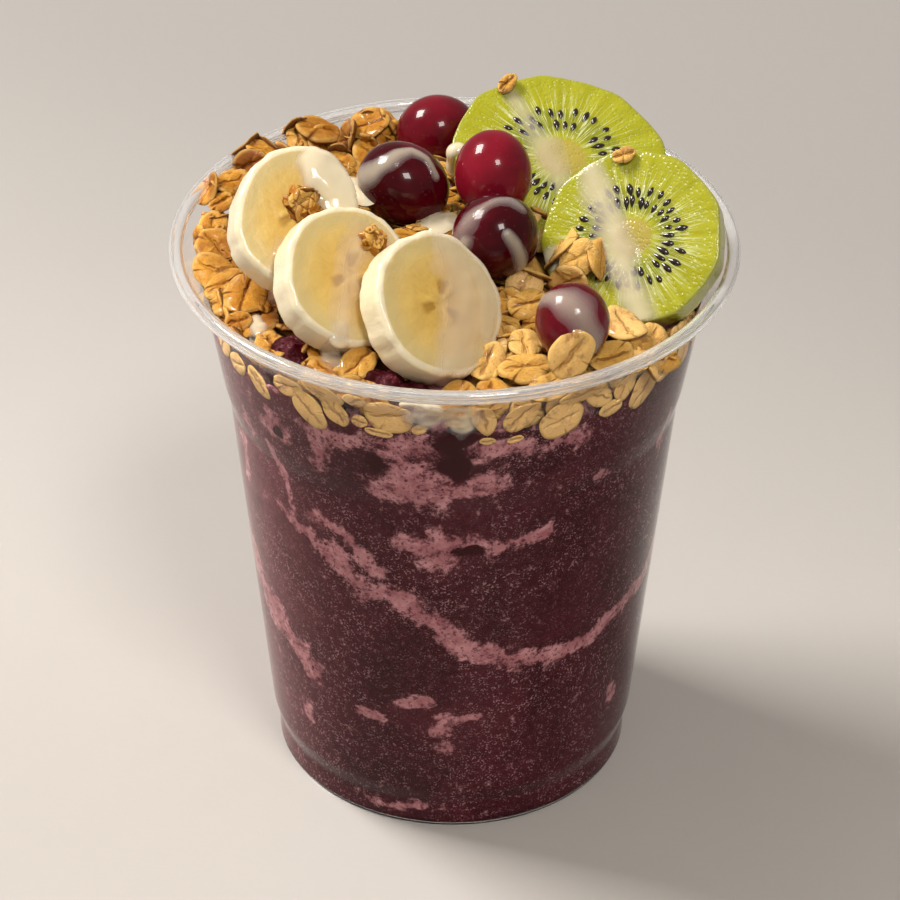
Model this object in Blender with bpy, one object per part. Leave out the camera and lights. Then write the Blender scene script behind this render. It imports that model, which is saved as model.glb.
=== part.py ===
"""A clear plastic cold cup filled with frozen acai blend under a heap of granola and cut fruit.

Sizes below are in millimetres and become metres when a mesh is made. +Z is up, the front of the
cup faces -Y, and the origin is the middle of the foot, on the surface that the cup stands on.
"""

import math

import bmesh
import bpy
from mathutils import Matrix, Vector, noise

MM = 0.001
GAP = 0.3  # clearance between pieces that touch
SEGMENTS = 48  # facets round the cup and all that fills it

# Cup: the wall's outer radius at each height where the moulding changes direction.
WALL = 0.55
FOOT_RADIUS = 31.9
FOOT_HEIGHT = 5.8
BODY_LOW = (33.0, 9.3)
BODY_HIGH = (39.4, 75.5)
SHOULDER = (40.4, 79.5)
LEDGE_LOW = (42.7, 92.7)
LEDGE_HIGH = (42.9, 97.0)
MOUTH = (46.6, 103.0)
RIM_RADIUS = 49.0
RIM_BEAD = 1.2  # radius of the rolled edge
HEIGHT = 105.4
FOOT_RING_WIDTH = 3.2
RECESS = 2.4  # how far the middle of the base is raised
FOOT_ROUNDING = 0.9

# Fill: where the granola starts at the wall, and how the blend and the heap rise to the middle.
BLEND_LEVEL = 92.4
BLEND_RISE = 2.6
HEAP_LEVEL = 98.9
HEAP_RISE = 7.6
HEAP_SPREAD = 23.0
HEAP_TILT = 0.028  # the heap stands higher towards the back and the left
FILL_RINGS = (0.97, 0.86, 0.72, 0.56, 0.40, 0.24, 0.10)
HEAP_RINGS = (0.985, 0.93, 0.86, 0.78, 0.70, 0.61, 0.52, 0.42, 0.32, 0.21, 0.10)

# Clusters that stand out of the heap: x, y, reach and rise.
CLUSTERS = (
    (-14.5, 36.5, 6.5, 6.4),
    (-25.5, 33.5, 5.5, 5.8),
    (-34.5, 25.5, 6.5, 6.8),
    (-39.0, 16.0, 5.5, 4.6),
    (-38.0, -8.0, 4.5, 1.4),
    (-29.0, -24.0, 4.0, 1.2),
    (-18.0, -32.0, 4.0, 2.0),
    (-3.0, 26.5, 4.5, 2.2),
    (6.0, 9.0, 6.0, 2.6),
    (12.0, -13.5, 6.0, 2.6),
    (8.5, -27.0, 4.5, 3.0),
    (12.0, -36.0, 4.5, 2.2),
    (20.5, -29.5, 8.5, 4.2),
    (22.0, -8.0, 5.0, 2.4),
    (29.5, -22.0, 5.0, 2.8),
)
# Granola banked up behind the leaning slices, which carries them: x, y, reach and rise.
BANKS = (
    (-26.0, 5.0, 9.0, 9.5),
    (-15.0, -5.0, 9.0, 6.0),
    (29.0, 5.0, 9.0, 8.5),
    (19.0, 31.0, 9.5, 8.5),
)

# Fruit: centre, then how far the piece leans from upright and the bearing that it leans to. A
# slice also has its two radii and the turn of the first one from the downhill side, and a grape
# has its length and width. Slices of a kind are equally thick.
BANANA_THICKNESS = 6.6
BANANAS = (
    {"centre": (-27.5, -6.5, 112.5), "lean": 43.5, "bearing": -64.0, "turn": 141.0, "radii": (12.7, 10.4)},
    {"centre": (-18.6, -19.4, 108.4), "lean": 44.5, "bearing": -53.5, "turn": 142.0, "radii": (12.4, 11.8)},
    {"centre": (-3.9, -24.9, 106.5), "lean": 46.5, "bearing": -47.0, "turn": 157.0, "radii": (12.7, 12.0)},
)
KIWI_THICKNESS = 5.0
KIWI_FLATS = 9
KIWI_FLATNESS = 0.55  # 0 for a round slice, 1 for straight flats
KIWIS = (
    {"centre": (18.3, 21.0, 107.2), "lean": 27.5, "bearing": -75.0, "turn": 65.0, "radii": (19.5, 17.1)},
    {"centre": (30.4, -5.7, 108.0), "lean": 43.4, "bearing": -110.5, "turn": 15.0, "radii": (15.8, 15.8)},
)
GRAPES = (
    {"centre": (-3.3, 35.2, 105.2), "lean": 80.0, "bearing": 10.0, "length": 14.8, "width": 13.8},
    {"centre": (-8.9, 7.6, 111.1), "lean": 66.0, "bearing": 160.0, "length": 16.4, "width": 14.4},
    {"centre": (6.5, 7.4, 113.3), "lean": 35.0, "bearing": 90.0, "length": 15.4, "width": 13.4},
    {"centre": (6.9, -7.7, 110.1), "lean": 75.0, "bearing": 20.0, "length": 15.0, "width": 14.6},
    {"centre": (19.5, -29.4, 107.0), "lean": 35.0, "bearing": 90.0, "length": 13.4, "width": 12.6},
)


def clear_scene():
    for obj in list(bpy.data.objects):
        bpy.data.objects.remove(obj)


def material(name, color, roughness, transmission=0.0):
    """A Principled material with one colour, and clear where transmission is 1."""
    made = bpy.data.materials.new(name)
    made.use_nodes = True
    shader = made.node_tree.nodes["Principled BSDF"]
    shader.inputs["Base Color"].default_value = (*color, 1.0)
    shader.inputs["Roughness"].default_value = roughness
    shader.inputs["Metallic"].default_value = 0.0
    shader.inputs["Transmission Weight"].default_value = transmission
    made.diffuse_color = (*color, 1.0 - 0.7 * transmission)
    return made


def object_from(name, bm, look):
    """The bmesh as a named object in metres, with smooth shading broken at sharp edges."""
    bmesh.ops.scale(bm, vec=(MM, MM, MM), verts=bm.verts)
    bmesh.ops.recalc_face_normals(bm, faces=bm.faces)
    mesh = bpy.data.meshes.new(name)
    bm.to_mesh(mesh)
    bm.free()
    mesh.materials.append(look)
    mesh.shade_smooth()
    mesh.set_sharp_from_angle(angle=math.radians(35))
    obj = bpy.data.objects.new(name, mesh)
    bpy.context.scene.collection.objects.link(obj)
    return obj


def mark_cutter(obj):
    obj.hide_render = True
    obj.display_type = "WIRE"
    return obj


def arc(center, radius, start, end, steps):
    """Points on an arc in the radius and height plane, from one angle in degrees to another."""
    found = []
    for i in range(steps + 1):
        angle = math.radians(start + (end - start) * i / steps)
        found.append((center[0] + radius * math.cos(angle), center[1] + radius * math.sin(angle)))
    return found


# ---------------------------------------------------------------- cup


def wall_profile():
    """The wall's outer radius and height, from the foot's top edge to the mouth."""
    return [
        (FOOT_RADIUS, FOOT_HEIGHT),
        BODY_LOW,
        BODY_HIGH,
        SHOULDER,
        LEDGE_LOW,
        LEDGE_HIGH,
        MOUTH,
    ]


def inner_radius(height):
    """The inside radius of the wall at a height above the foot."""
    points = [(radius - WALL, z) for radius, z in wall_profile()]
    if height <= points[0][1]:
        return points[0][0]
    for (r0, z0), (r1, z1) in zip(points, points[1:]):
        if height <= z1:
            return r0 + (r1 - r0) * (height - z0) / (z1 - z0)
    return points[-1][0]


def rim_profile():
    """The rolled rim, from the inside of the mouth over the top and round to the outside."""
    top = HEIGHT - RIM_BEAD
    bead = arc((RIM_RADIUS - RIM_BEAD, top), RIM_BEAD, 150, -120, 6)
    return [(MOUTH[0] - WALL, MOUTH[1])] + bead


def base_profile():
    """The underside, from the outer edge of the foot to the middle of the raised base."""
    ring_inner = FOOT_RADIUS - FOOT_RING_WIDTH
    corner = arc((FOOT_RADIUS - FOOT_ROUNDING, FOOT_ROUNDING), FOOT_ROUNDING, 0, -90, 2)
    return corner + [(ring_inner, 0.0), (ring_inner - 1.2, RECESS), (0.0, RECESS)]


def floor_profile():
    """The inside of the base, from its middle to the foot of the wall."""
    ring_inner = FOOT_RADIUS - FOOT_RING_WIDTH
    corner = FOOT_RADIUS - FOOT_ROUNDING
    return [
        (0.0, RECESS + WALL),
        (ring_inner - 0.9, RECESS + WALL),
        (ring_inner + 0.5, WALL),
        (corner, WALL),
        (FOOT_RADIUS - WALL, FOOT_ROUNDING),
    ]


def cup_profile():
    inside = floor_profile() + [(r - WALL, z) for r, z in wall_profile()[:-1]]
    outside = wall_profile()[::-1]
    return inside + rim_profile() + outside + base_profile()


def make_cup(look):
    """One turned shell, spun from the profile of its inside, rim, outside and base."""
    bm = bmesh.new()
    verts = [bm.verts.new((radius, 0.0, z)) for radius, z in cup_profile()]
    for first, second in zip(verts, verts[1:]):
        bm.edges.new((first, second))
    obj = object_from("cup", bm, look)
    screw = obj.modifiers.new("turned", "SCREW")
    screw.steps = SEGMENTS
    screw.render_steps = SEGMENTS
    screw.use_merge_vertices = True
    screw.merge_threshold = 0.00001
    screw.use_smooth_shade = True
    return obj


# ---------------------------------------------------------------- fill


def unevenness(x, y, wavelength, height):
    """A gentle random relief that is the same each time."""
    return height * noise.noise(Vector((x / wavelength, y / wavelength, 3.7)))


def blend_height(x, y):
    """The top of the frozen blend, which is also the underside of the granola."""
    radius = math.hypot(x, y)
    rise = BLEND_RISE * (1.0 - min(radius / 36.0, 1.0) ** 2)
    return BLEND_LEVEL + rise + unevenness(x, y, 14.0, 1.8)


def heap_height(x, y):
    """The outline of the granola heap: a mound, its clusters and the relief of its flakes."""
    mound = HEAP_RISE * math.exp(-((math.hypot(x, y) / HEAP_SPREAD) ** 2))
    tilt = HEAP_TILT * (y - 0.6 * x)
    rise = 0.0
    for cx, cy, reach, height in CLUSTERS + BANKS:
        distance = math.hypot(x - cx, y - cy) / reach
        rise = max(rise, height * math.exp(-(distance**2)))
    return HEAP_LEVEL + mound + tilt + rise + unevenness(x, y, 4.6, 1.1)


def around():
    """The directions of the facets' corners, which match the cup's."""
    turn = 2.0 * math.pi / SEGMENTS
    return [(math.cos(i * turn), math.sin(i * turn)) for i in range(SEGMENTS)]


def level_ring(radius, height):
    return [(radius * c, radius * s, height) for c, s in around()]


def wall_ring(surface, lift=0.0):
    """A ring where a surface meets the inside of the wall."""
    ring = []
    for c, s in around():
        reach = inner_radius(LEDGE_LOW[1]) - GAP
        height = surface(reach * c, reach * s) + lift
        radius = inner_radius(height) - GAP
        ring.append((radius * c, radius * s, height))
    return ring


def surface_rings(surface, shares, lift=0.0):
    """Rings over a surface, each at a share of the way out to the wall."""
    rings = []
    for share in shares:
        reach = share * (inner_radius(LEDGE_LOW[1]) - GAP)
        rings.append([(reach * c, reach * s, surface(reach * c, reach * s) + lift) for c, s in around()])
    return rings


def closed_stack(name, bottom, rings, top, look):
    """One closed body from a stack of rings between two middle points."""
    bm = bmesh.new()
    low = bm.verts.new(bottom)
    high = bm.verts.new(top)
    loops = [[bm.verts.new(point) for point in ring] for ring in rings]
    count = len(loops[0])
    for i in range(count):
        j = (i + 1) % count
        bm.faces.new((low, loops[0][j], loops[0][i]))
        bm.faces.new((high, loops[-1][i], loops[-1][j]))
        for lower, upper in zip(loops, loops[1:]):
            bm.faces.new((lower[i], lower[j], upper[j], upper[i]))
    bmesh.ops.triangulate(bm, faces=bm.faces)
    return object_from(name, bm, look)


def make_blend(look):
    """The frozen blend, from the base of the cup up to the granola."""
    raised_edge, ring_edge, corner = floor_profile()[1:4]
    floor = [(r + GAP, z + GAP) for r, z in (raised_edge, ring_edge)]
    floor.append((corner[0] - GAP, corner[1] + GAP))
    sides = [(r - WALL - GAP, z) for r, z in wall_profile()[:4]]
    rings = [level_ring(r, z) for r, z in floor + sides]
    rings.append(wall_ring(blend_height))
    rings += surface_rings(blend_height, FILL_RINGS)
    bottom = (0.0, 0.0, RECESS + WALL + GAP)
    top = (0.0, 0.0, blend_height(0.0, 0.0))
    return closed_stack("acai", bottom, rings, top, look)


def make_heap(look, cutters):
    """The granola, out to the uneven outline of its flakes, hollowed where the fruit lies in it."""
    reach = inner_radius(LEDGE_LOW[1]) - GAP
    rings = surface_rings(blend_height, FILL_RINGS[::-1], GAP)
    rings.append(wall_ring(blend_height, GAP))
    rings.append(level_ring(reach, LEDGE_HIGH[1]))
    rings.append(wall_ring(heap_height))
    rings += surface_rings(heap_height, HEAP_RINGS)
    bottom = (0.0, 0.0, blend_height(0.0, 0.0) + GAP)
    top = (0.0, 0.0, heap_height(0.0, 0.0))
    heap = closed_stack("granola", bottom, rings, top, look)
    for cutter in cutters:
        cut = heap.modifiers.new("room for " + cutter.name, "BOOLEAN")
        cut.operation = "DIFFERENCE"
        cut.solver = "EXACT"
        cut.object = cutter
    return heap


# ---------------------------------------------------------------- fruit


def place(obj, spec):
    """Stands the piece at its centre, leaning from upright towards its bearing."""
    lean = Matrix.Rotation(math.radians(spec["lean"]), 4, "Y")
    bearing = Matrix.Rotation(math.radians(spec["bearing"]), 4, "Z")
    obj.matrix_world = Matrix.Translation(Vector(spec["centre"]) * MM) @ bearing @ lean
    return obj


def slice_object(name, outline, thickness, edge, look):
    """A flat slice with a rounded edge, extruded from its outline."""
    bm = bmesh.new()
    verts = [bm.verts.new((x, y, -thickness / 2.0)) for x, y in outline]
    face = bm.faces.new(verts)
    grown = bmesh.ops.extrude_face_region(bm, geom=[face])
    top = [item for item in grown["geom"] if isinstance(item, bmesh.types.BMVert)]
    bmesh.ops.translate(bm, vec=(0.0, 0.0, thickness), verts=top)
    obj = object_from(name, bm, look)
    bevel = obj.modifiers.new("rounded edge", "BEVEL")
    bevel.width = edge * MM
    bevel.segments = 1
    bevel.limit_method = "ANGLE"
    bevel.angle_limit = math.radians(60)
    return obj


def slice_outline(radii, turn, count, reach_at):
    """An oval outline whose reach at each angle is the given share of the oval's."""
    points = []
    for i in range(count):
        angle = 2.0 * math.pi * i / count
        along = radii[0] * reach_at(angle) * math.cos(angle)
        across = radii[1] * reach_at(angle) * math.sin(angle)
        x = along * math.cos(turn) - across * math.sin(turn)
        y = along * math.sin(turn) + across * math.cos(turn)
        points.append((x, y))
    return points


def banana_reach(angle):
    """The five soft corners of a peeled banana."""
    return 1.0 + 0.014 * math.cos(5.0 * angle + 1.0)


def kiwi_reach(angle):
    """The flats that a peeling knife leaves, softened."""
    step = 2.0 * math.pi / KIWI_FLATS
    within = (angle + step / 4.0) % step - step / 2.0
    flat = math.cos(step / 2.0) / math.cos(within)
    return 1.0 + KIWI_FLATNESS * (flat - 1.0)


def make_banana(name, spec, grow, look):
    radii = [radius + grow for radius in spec["radii"]]
    outline = slice_outline(radii, math.radians(spec["turn"]), 30, banana_reach)
    obj = slice_object(name, outline, BANANA_THICKNESS + 2.0 * grow, 0.7, look)
    return place(obj, spec)


def make_kiwi(name, spec, grow, look):
    radii = [radius + grow for radius in spec["radii"]]
    outline = slice_outline(radii, math.radians(spec["turn"]), 36, kiwi_reach)
    obj = slice_object(name, outline, KIWI_THICKNESS + 2.0 * grow, 0.5, look)
    return place(obj, spec)


def make_grape(name, spec, grow, look):
    """An oval berry, a little fuller at its stem end."""
    bm = bmesh.new()
    bmesh.ops.create_uvsphere(bm, u_segments=14, v_segments=10, radius=1.0)
    for vert in bm.verts:
        full = 1.0 + 0.035 * vert.co.z
        vert.co.x *= (spec["width"] / 2.0 + grow) * full
        vert.co.y *= (spec["width"] / 2.0 + grow) * full
        vert.co.z *= spec["length"] / 2.0 + grow
    return place(object_from(name, bm, look), spec)


def make_fruit(looks):
    """Every piece of fruit as its own object, and a slightly larger cutter for each."""
    kinds = (
        ("banana", BANANAS, make_banana),
        ("kiwi", KIWIS, make_kiwi),
        ("grape", GRAPES, make_grape),
    )
    cutters = []
    for kind, specs, make in kinds:
        for number, spec in enumerate(specs, 1):
            make(f"{kind}_{number}", spec, 0.0, looks[kind])
            cutter = make(f"{kind}_{number}_room", spec, GAP, looks[kind])
            cutters.append(mark_cutter(cutter))
    return cutters


def main():
    clear_scene()
    looks = {
        "cup": material("clear_plastic", (0.93, 0.94, 0.94), 0.05, transmission=1.0),
        "acai": material("acai_blend", (0.085, 0.018, 0.035), 0.45),
        "granola": material("toasted_granola", (0.62, 0.34, 0.12), 0.6),
        "banana": material("banana_flesh", (0.86, 0.76, 0.48), 0.4),
        "kiwi": material("kiwi_flesh", (0.42, 0.50, 0.06), 0.3),
        "grape": material("grape_skin", (0.13, 0.012, 0.03), 0.12),
    }
    make_cup(looks["cup"])
    make_blend(looks["acai"])
    cutters = make_fruit(looks)
    make_heap(looks["granola"], cutters)


main()
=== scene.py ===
"""The looks of a clear cold cup of frozen acai, granola and cut fruit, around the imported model.

Everything is in metres in the model's own frame. Sizes named here are in millimetres times MM.
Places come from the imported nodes: the cup's radii are measured on its wall, each slice and grape
is rebuilt on the axes of its own solid, and flakes and sauce are dropped on to what lies below.
"""

import math
import random

import bmesh
import bpy
import numpy as np
from mathutils import Matrix, Vector, noise
from mathutils.bvhtree import BVHTree
from mathutils.geometry import convex_hull_2d


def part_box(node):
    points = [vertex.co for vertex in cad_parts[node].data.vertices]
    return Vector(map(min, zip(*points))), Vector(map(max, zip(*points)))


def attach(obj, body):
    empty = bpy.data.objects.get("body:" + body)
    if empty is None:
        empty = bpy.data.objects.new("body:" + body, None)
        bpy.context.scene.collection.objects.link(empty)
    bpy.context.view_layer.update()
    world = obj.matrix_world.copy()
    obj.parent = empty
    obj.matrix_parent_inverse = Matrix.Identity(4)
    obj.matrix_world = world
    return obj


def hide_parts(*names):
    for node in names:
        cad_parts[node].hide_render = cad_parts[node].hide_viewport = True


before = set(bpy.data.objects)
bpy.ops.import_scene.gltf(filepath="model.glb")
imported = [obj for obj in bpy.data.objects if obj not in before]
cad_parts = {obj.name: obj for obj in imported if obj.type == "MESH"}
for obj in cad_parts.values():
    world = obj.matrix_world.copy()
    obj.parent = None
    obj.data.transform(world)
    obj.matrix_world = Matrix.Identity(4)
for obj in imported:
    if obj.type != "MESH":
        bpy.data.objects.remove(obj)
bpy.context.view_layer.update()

MM = 0.001
NOISE_SEED = 5  # without a seed, noise vectors differ from run to run
noise.seed_set(NOISE_SEED)

# ---------------------------------------------------------------- camera, light and floor

CAMERA_DISTANCE = 700.5 * MM
CAMERA_ELEVATION = math.radians(34.8)
CAMERA_AIM = Vector((-0.6, 0.0, 60.7)) * MM
CAMERA_ROLL = math.radians(0.37)
CAMERA_LENS = 157.66
CAMERA_SENSOR = 36.0


def make_camera():
    """The camera at the photograph's angle, aimed at the middle of the cup."""
    data = bpy.data.cameras.new("camera")
    data.lens = CAMERA_LENS
    data.sensor_width = CAMERA_SENSOR
    camera = bpy.data.objects.new("camera", data)
    bpy.context.scene.collection.objects.link(camera)
    back = Vector((0.0, -math.cos(CAMERA_ELEVATION), math.sin(CAMERA_ELEVATION)))
    tilt = Matrix.Rotation(math.pi / 2.0 - CAMERA_ELEVATION, 4, "X")
    roll = Matrix.Rotation(CAMERA_ROLL, 4, "Z")
    camera.matrix_world = Matrix.Translation(CAMERA_AIM + back * CAMERA_DISTANCE) @ tilt @ roll
    bpy.context.scene.camera = camera


ROOM_COLOR = (1.0, 0.93, 0.85)
ROOM_STRENGTH = 0.29
LAMP_DISTANCE = 1.5
LAMP_TARGET = Vector((0.0, 0.0, 0.08))
# Each lamp: the direction it shines from, its sides in metres, its watts and its colour.
LAMPS = {
    "window": ((-0.59, 0.28, 0.79), (0.55, 0.42), 28.0, (1.0, 0.96, 0.92)),
    "fill": ((0.22, -0.6, 1.0), (0.34, 0.34), 9.0, (1.0, 0.96, 0.91)),
}


def make_area_light(name, direction, size, watts, color):
    """A soft four-sided lamp that faces the cup."""
    data = bpy.data.lights.new(name, "AREA")
    data.shape = "RECTANGLE"
    data.size, data.size_y = size
    data.energy = watts
    data.color = color
    light = bpy.data.objects.new(name, data)
    bpy.context.scene.collection.objects.link(light)
    away = Vector(direction).normalized()
    light.location = LAMP_TARGET + away * LAMP_DISTANCE
    light.rotation_euler = away.to_track_quat("Z", "Y").to_euler()


def make_world():
    """The even light of a room, from all round."""
    world = bpy.data.worlds.new("soft room")
    world.use_nodes = True
    background = world.node_tree.nodes["Background"]
    background.inputs["Color"].default_value = (*ROOM_COLOR, 1.0)
    background.inputs["Strength"].default_value = ROOM_STRENGTH
    bpy.context.scene.world = world


# ---------------------------------------------------------------- node helpers


class Nodes:
    """A material's node tree, with short calls for the few nodes that the looks need."""

    def __init__(self, name):
        self.material = bpy.data.materials.new(name)
        self.material.use_nodes = True
        self.tree = self.material.node_tree
        self.shader = self.tree.nodes["Principled BSDF"]
        self.output = self.tree.nodes["Material Output"]

    def node(self, kind, **values):
        made = self.tree.nodes.new(kind)
        for key, value in values.items():
            setattr(made, key, value)
        return made

    def link(self, value, socket):
        """Feeds a socket from another socket, or sets it to a plain value."""
        if isinstance(value, bpy.types.NodeSocket):
            self.tree.links.new(value, socket)
        elif isinstance(value, tuple) and len(value) == 3 and socket.type == "RGBA":
            socket.default_value = (*value, 1.0)
        else:
            socket.default_value = value

    def local(self):
        """The piece's own coordinates, in metres."""
        return self.node("ShaderNodeTexCoord").outputs["Object"]

    def attribute(self, name):
        return self.node("ShaderNodeAttribute", attribute_name=name).outputs["Fac"]

    def filled(self, kind, inputs, **values):
        """A new node with its inputs linked or set."""
        made = self.node(kind, **values)
        for name, value in inputs.items():
            self.link(value, made.inputs[name])
        return made

    def split(self, vector):
        """The X, Y and Z of a vector."""
        return self.filled("ShaderNodeSeparateXYZ", {"Vector": vector}).outputs

    def math(self, operation, a, b=0.0, c=0.0, clamp=False):
        made = self.node("ShaderNodeMath", operation=operation, use_clamp=clamp)
        for value, socket in zip((a, b, c), made.inputs):
            self.link(value, socket)
        return made.outputs[0]

    def times(self, a, b):
        return self.math("MULTIPLY", a, b)

    def vector(self, operation, a, b=(0.0, 0.0, 0.0)):
        made = self.node("ShaderNodeVectorMath", operation=operation)
        self.link(a, made.inputs[0])
        self.link(b, made.inputs[1])
        return made.outputs[0]

    def scaled(self, vector, factors):
        return self.vector("MULTIPLY", vector, factors)

    def noise(self, vector, scale, detail=3.0, roughness=0.5, distortion=0.0):
        inputs = {"Vector": vector, "Scale": scale, "Detail": detail}
        inputs |= {"Roughness": roughness, "Distortion": distortion}
        return self.filled("ShaderNodeTexNoise", inputs).outputs["Fac"]

    def cells(self, vector, scale):
        """How far each place is from the nearest of many scattered points, in cells."""
        return self.filled("ShaderNodeTexVoronoi", {"Vector": vector, "Scale": scale}).outputs["Distance"]

    def smooth(self, value, low, high, to_low=0.0, to_high=1.0):
        """A smooth step from one value to another as the input goes from low to high."""
        inputs = {"Value": value, "From Min": low, "From Max": high, "To Min": to_low, "To Max": to_high}
        made = self.filled("ShaderNodeMapRange", inputs, interpolation_type="SMOOTHSTEP")
        return made.outputs["Result"]

    def mix(self, factor, a, b):
        inputs = {"Factor": factor, "A": a, "B": b}
        return self.filled("ShaderNodeMix", inputs, data_type="RGBA").outputs["Result"]

    def bump(self, height, distance, strength):
        inputs = {"Height": height, "Distance": distance, "Strength": strength}
        return self.filled("ShaderNodeBump", inputs).outputs["Normal"]

    def set(self, **values):
        """Sets the shader's inputs by name, with _ for a space."""
        for key, value in values.items():
            self.link(value, self.shader.inputs[key.replace("_", " ")])
        return self


# ---------------------------------------------------------------- mesh helpers


def mesh_piece(name, points, faces, material, place=None, smooth=True, attributes=None):
    """A mesh object, smooth shaded, with its own place and named values at its points."""
    mesh = bpy.data.meshes.new(name)
    mesh.from_pydata([tuple(p) for p in points], [], [tuple(f) for f in faces])
    mesh.validate()
    mesh.update()
    if smooth:
        mesh.shade_smooth()
    for key, values in (attributes or {}).items():
        layer = mesh.attributes.new(key, "FLOAT", "POINT")
        layer.data.foreach_set("value", np.asarray(values, np.float32))
    mesh.materials.append(material)
    piece = bpy.data.objects.new(name, mesh)
    bpy.context.scene.collection.objects.link(piece)
    if place is not None:
        piece.matrix_world = place
    return piece


def ride(piece, slot, *replaced):
    """Attaches a finished piece to its body and hides the nodes it stands for. The slot is not used."""
    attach(piece, "root")
    if replaced:
        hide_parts(*replaced)
    return piece


def tube_faces(rows, columns):
    """Quads between rows of points that each close into a ring."""
    faces = []
    for i in range(rows - 1):
        for j in range(columns):
            k = (j + 1) % columns
            a, b = i * columns, (i + 1) * columns
            faces.append((a + j, a + k, b + k, b + j))
    return faces


def grid_faces(rows, columns):
    """Quads of an open grid of points, row after row."""
    corners = [i * columns + j for i in range(rows - 1) for j in range(columns - 1)]
    return [(k, k + columns, k + columns + 1, k + 1) for k in corners]


def keep_used(faces):
    """The numbers of the points that some faces use, and the faces renumbered to match."""
    used = sorted({i for face in faces for i in face})
    where = {old: new for new, old in enumerate(used)}
    return used, [tuple(where[i] for i in face) for face in faces]


def ring_stack(rings, bottom=None, top=None):
    """Points and faces of rings that lie one above another, closed by two middle points."""
    columns = len(rings[0])
    points = [p for ring in rings for p in ring]
    faces = tube_faces(len(rings), columns)
    if bottom is not None:
        points.append(bottom)
        faces += [(len(points) - 1, (j + 1) % columns, j) for j in range(columns)]
    if top is not None:
        points.append(top)
        last = (len(rings) - 1) * columns
        faces += [(len(points) - 1, last + j, last + (j + 1) % columns) for j in range(columns)]
    return points, faces


def circle(count):
    """The directions of equally spaced points round the cup."""
    turn = 2.0 * math.pi / count
    return [(math.cos(i * turn), math.sin(i * turn)) for i in range(count)]


def ring(radius, height, count):
    """Equally spaced points round the cup's axis."""
    return [(radius * c, radius * s, height) for c, s in circle(count)]


def node_points(node):
    """A solid's points, one in each row."""
    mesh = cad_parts[node].data
    flat = np.zeros(len(mesh.vertices) * 3)
    mesh.vertices.foreach_get("co", flat)
    return flat.reshape(-1, 3)


def joined_solids(nodes):
    """The points and faces of one or more solids."""
    points, faces = [], []
    for node in nodes:
        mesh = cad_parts[node].data
        start = len(points)
        points += [v.co.copy() for v in mesh.vertices]
        faces += [[start + i for i in polygon.vertices] for polygon in mesh.polygons]
    return points, faces


def node_tree(*nodes):
    """A tree to cast rays at one or more solids."""
    return BVHTree.FromPolygons(*joined_solids(nodes))


def axes_turn(axes):
    """The turn that takes a piece's own axes, given as three rows, to where they point."""
    return Matrix([[float(v) for v in row] for row in axes]).transposed().to_4x4()


def soft_step(value, low, high):
    t = min(max((value - low) / (high - low), 0.0), 1.0)
    return t * t * (3.0 - 2.0 * t)


# ---------------------------------------------------------------- floor


def make_floor():
    """A plain pale floor, with painted light falloff that makes it darker towards the back and the right.
    """
    n = Nodes("floor")
    where = n.local()
    mottle = n.noise(where, 9.0, 6.0, 0.6)
    fine = n.noise(where, 160.0, 4.0, 0.6)
    color = n.mix(mottle, (0.49, 0.46, 0.43), (0.56, 0.525, 0.49))
    # Painted falloff of the lamp's light: the colour darkens towards the back and the right.
    at = n.split(where)
    away = n.math("MULTIPLY_ADD", at["X"], 0.5, at["Y"])
    color = n.mix(n.smooth(away, -0.02, 0.24), color, (0.37, 0.35, 0.33))
    n.set(Base_Color=color, Roughness=0.75, Normal=n.bump(fine, 0.2 * MM, 0.5))
    half = 4.0
    points = [(-half, -half, 0.0), (half, -half, 0.0), (half, half, 0.0), (-half, half, 0.0)]
    floor = mesh_piece("floor", points, [(0, 1, 2, 3)], n.material, smooth=False)


# ---------------------------------------------------------------- cup

WALL = 0.55 * MM
BEAD = 1.2 * MM
INNER_BEAD = 0.6 * MM
RIM_HOLLOW = 0.8 * MM
CUP_SEGMENTS = 180
CORNER_ROUNDING = 0.8 * MM
# Heights of the moulded corners, from the foot's top edge to the mouth.
CORNER_HEIGHTS = tuple(z * MM for z in (5.8, 9.3, 75.5, 79.5, 92.7, 97.0, 103.0))
FOOT_RING = (28.7 * MM, 31.0 * MM)
RECESS = 2.4 * MM

DOWN = Vector((0.0, 0.0, -1.0))
SKY = 0.2  # rays that look down on the heap, or in at the wall, start this far out

cup_tree, heap_tree = node_tree("cup"), node_tree("granola")


def outer_radius(height):
    """The wall's outside radius, measured on the cup's solid."""
    return cup_tree.ray_cast(Vector((SKY, 0.1 * MM, height)), Vector((-1.0, 0.0, 0.0)))[0].x


CORNERS = [(outer_radius(z), z) for z in CORNER_HEIGHTS]


def inner_radius(height):
    """The wall's inside radius at a height."""
    radii, heights = zip(*CORNERS)
    return float(np.interp(height, heights, radii)) - WALL


def rounded(profile):
    """The profile with each corner turned into a short curve."""
    steps = 5
    done = [profile[0]]
    for before, corner, after in zip(profile, profile[1:], profile[2:]):
        b, c, a = Vector(before), Vector(corner), Vector(after)
        reach = min(CORNER_ROUNDING, 0.45 * (b - c).length, 0.45 * (a - c).length)
        start = c + (b - c).normalized() * reach
        end = c + (a - c).normalized() * reach
        for i in range(steps + 1):
            t = i / steps
            done.append(tuple(start * (1 - t) ** 2 + c * 2 * t * (1 - t) + end * t**2))
    done.append(profile[-1])
    return done


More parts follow.
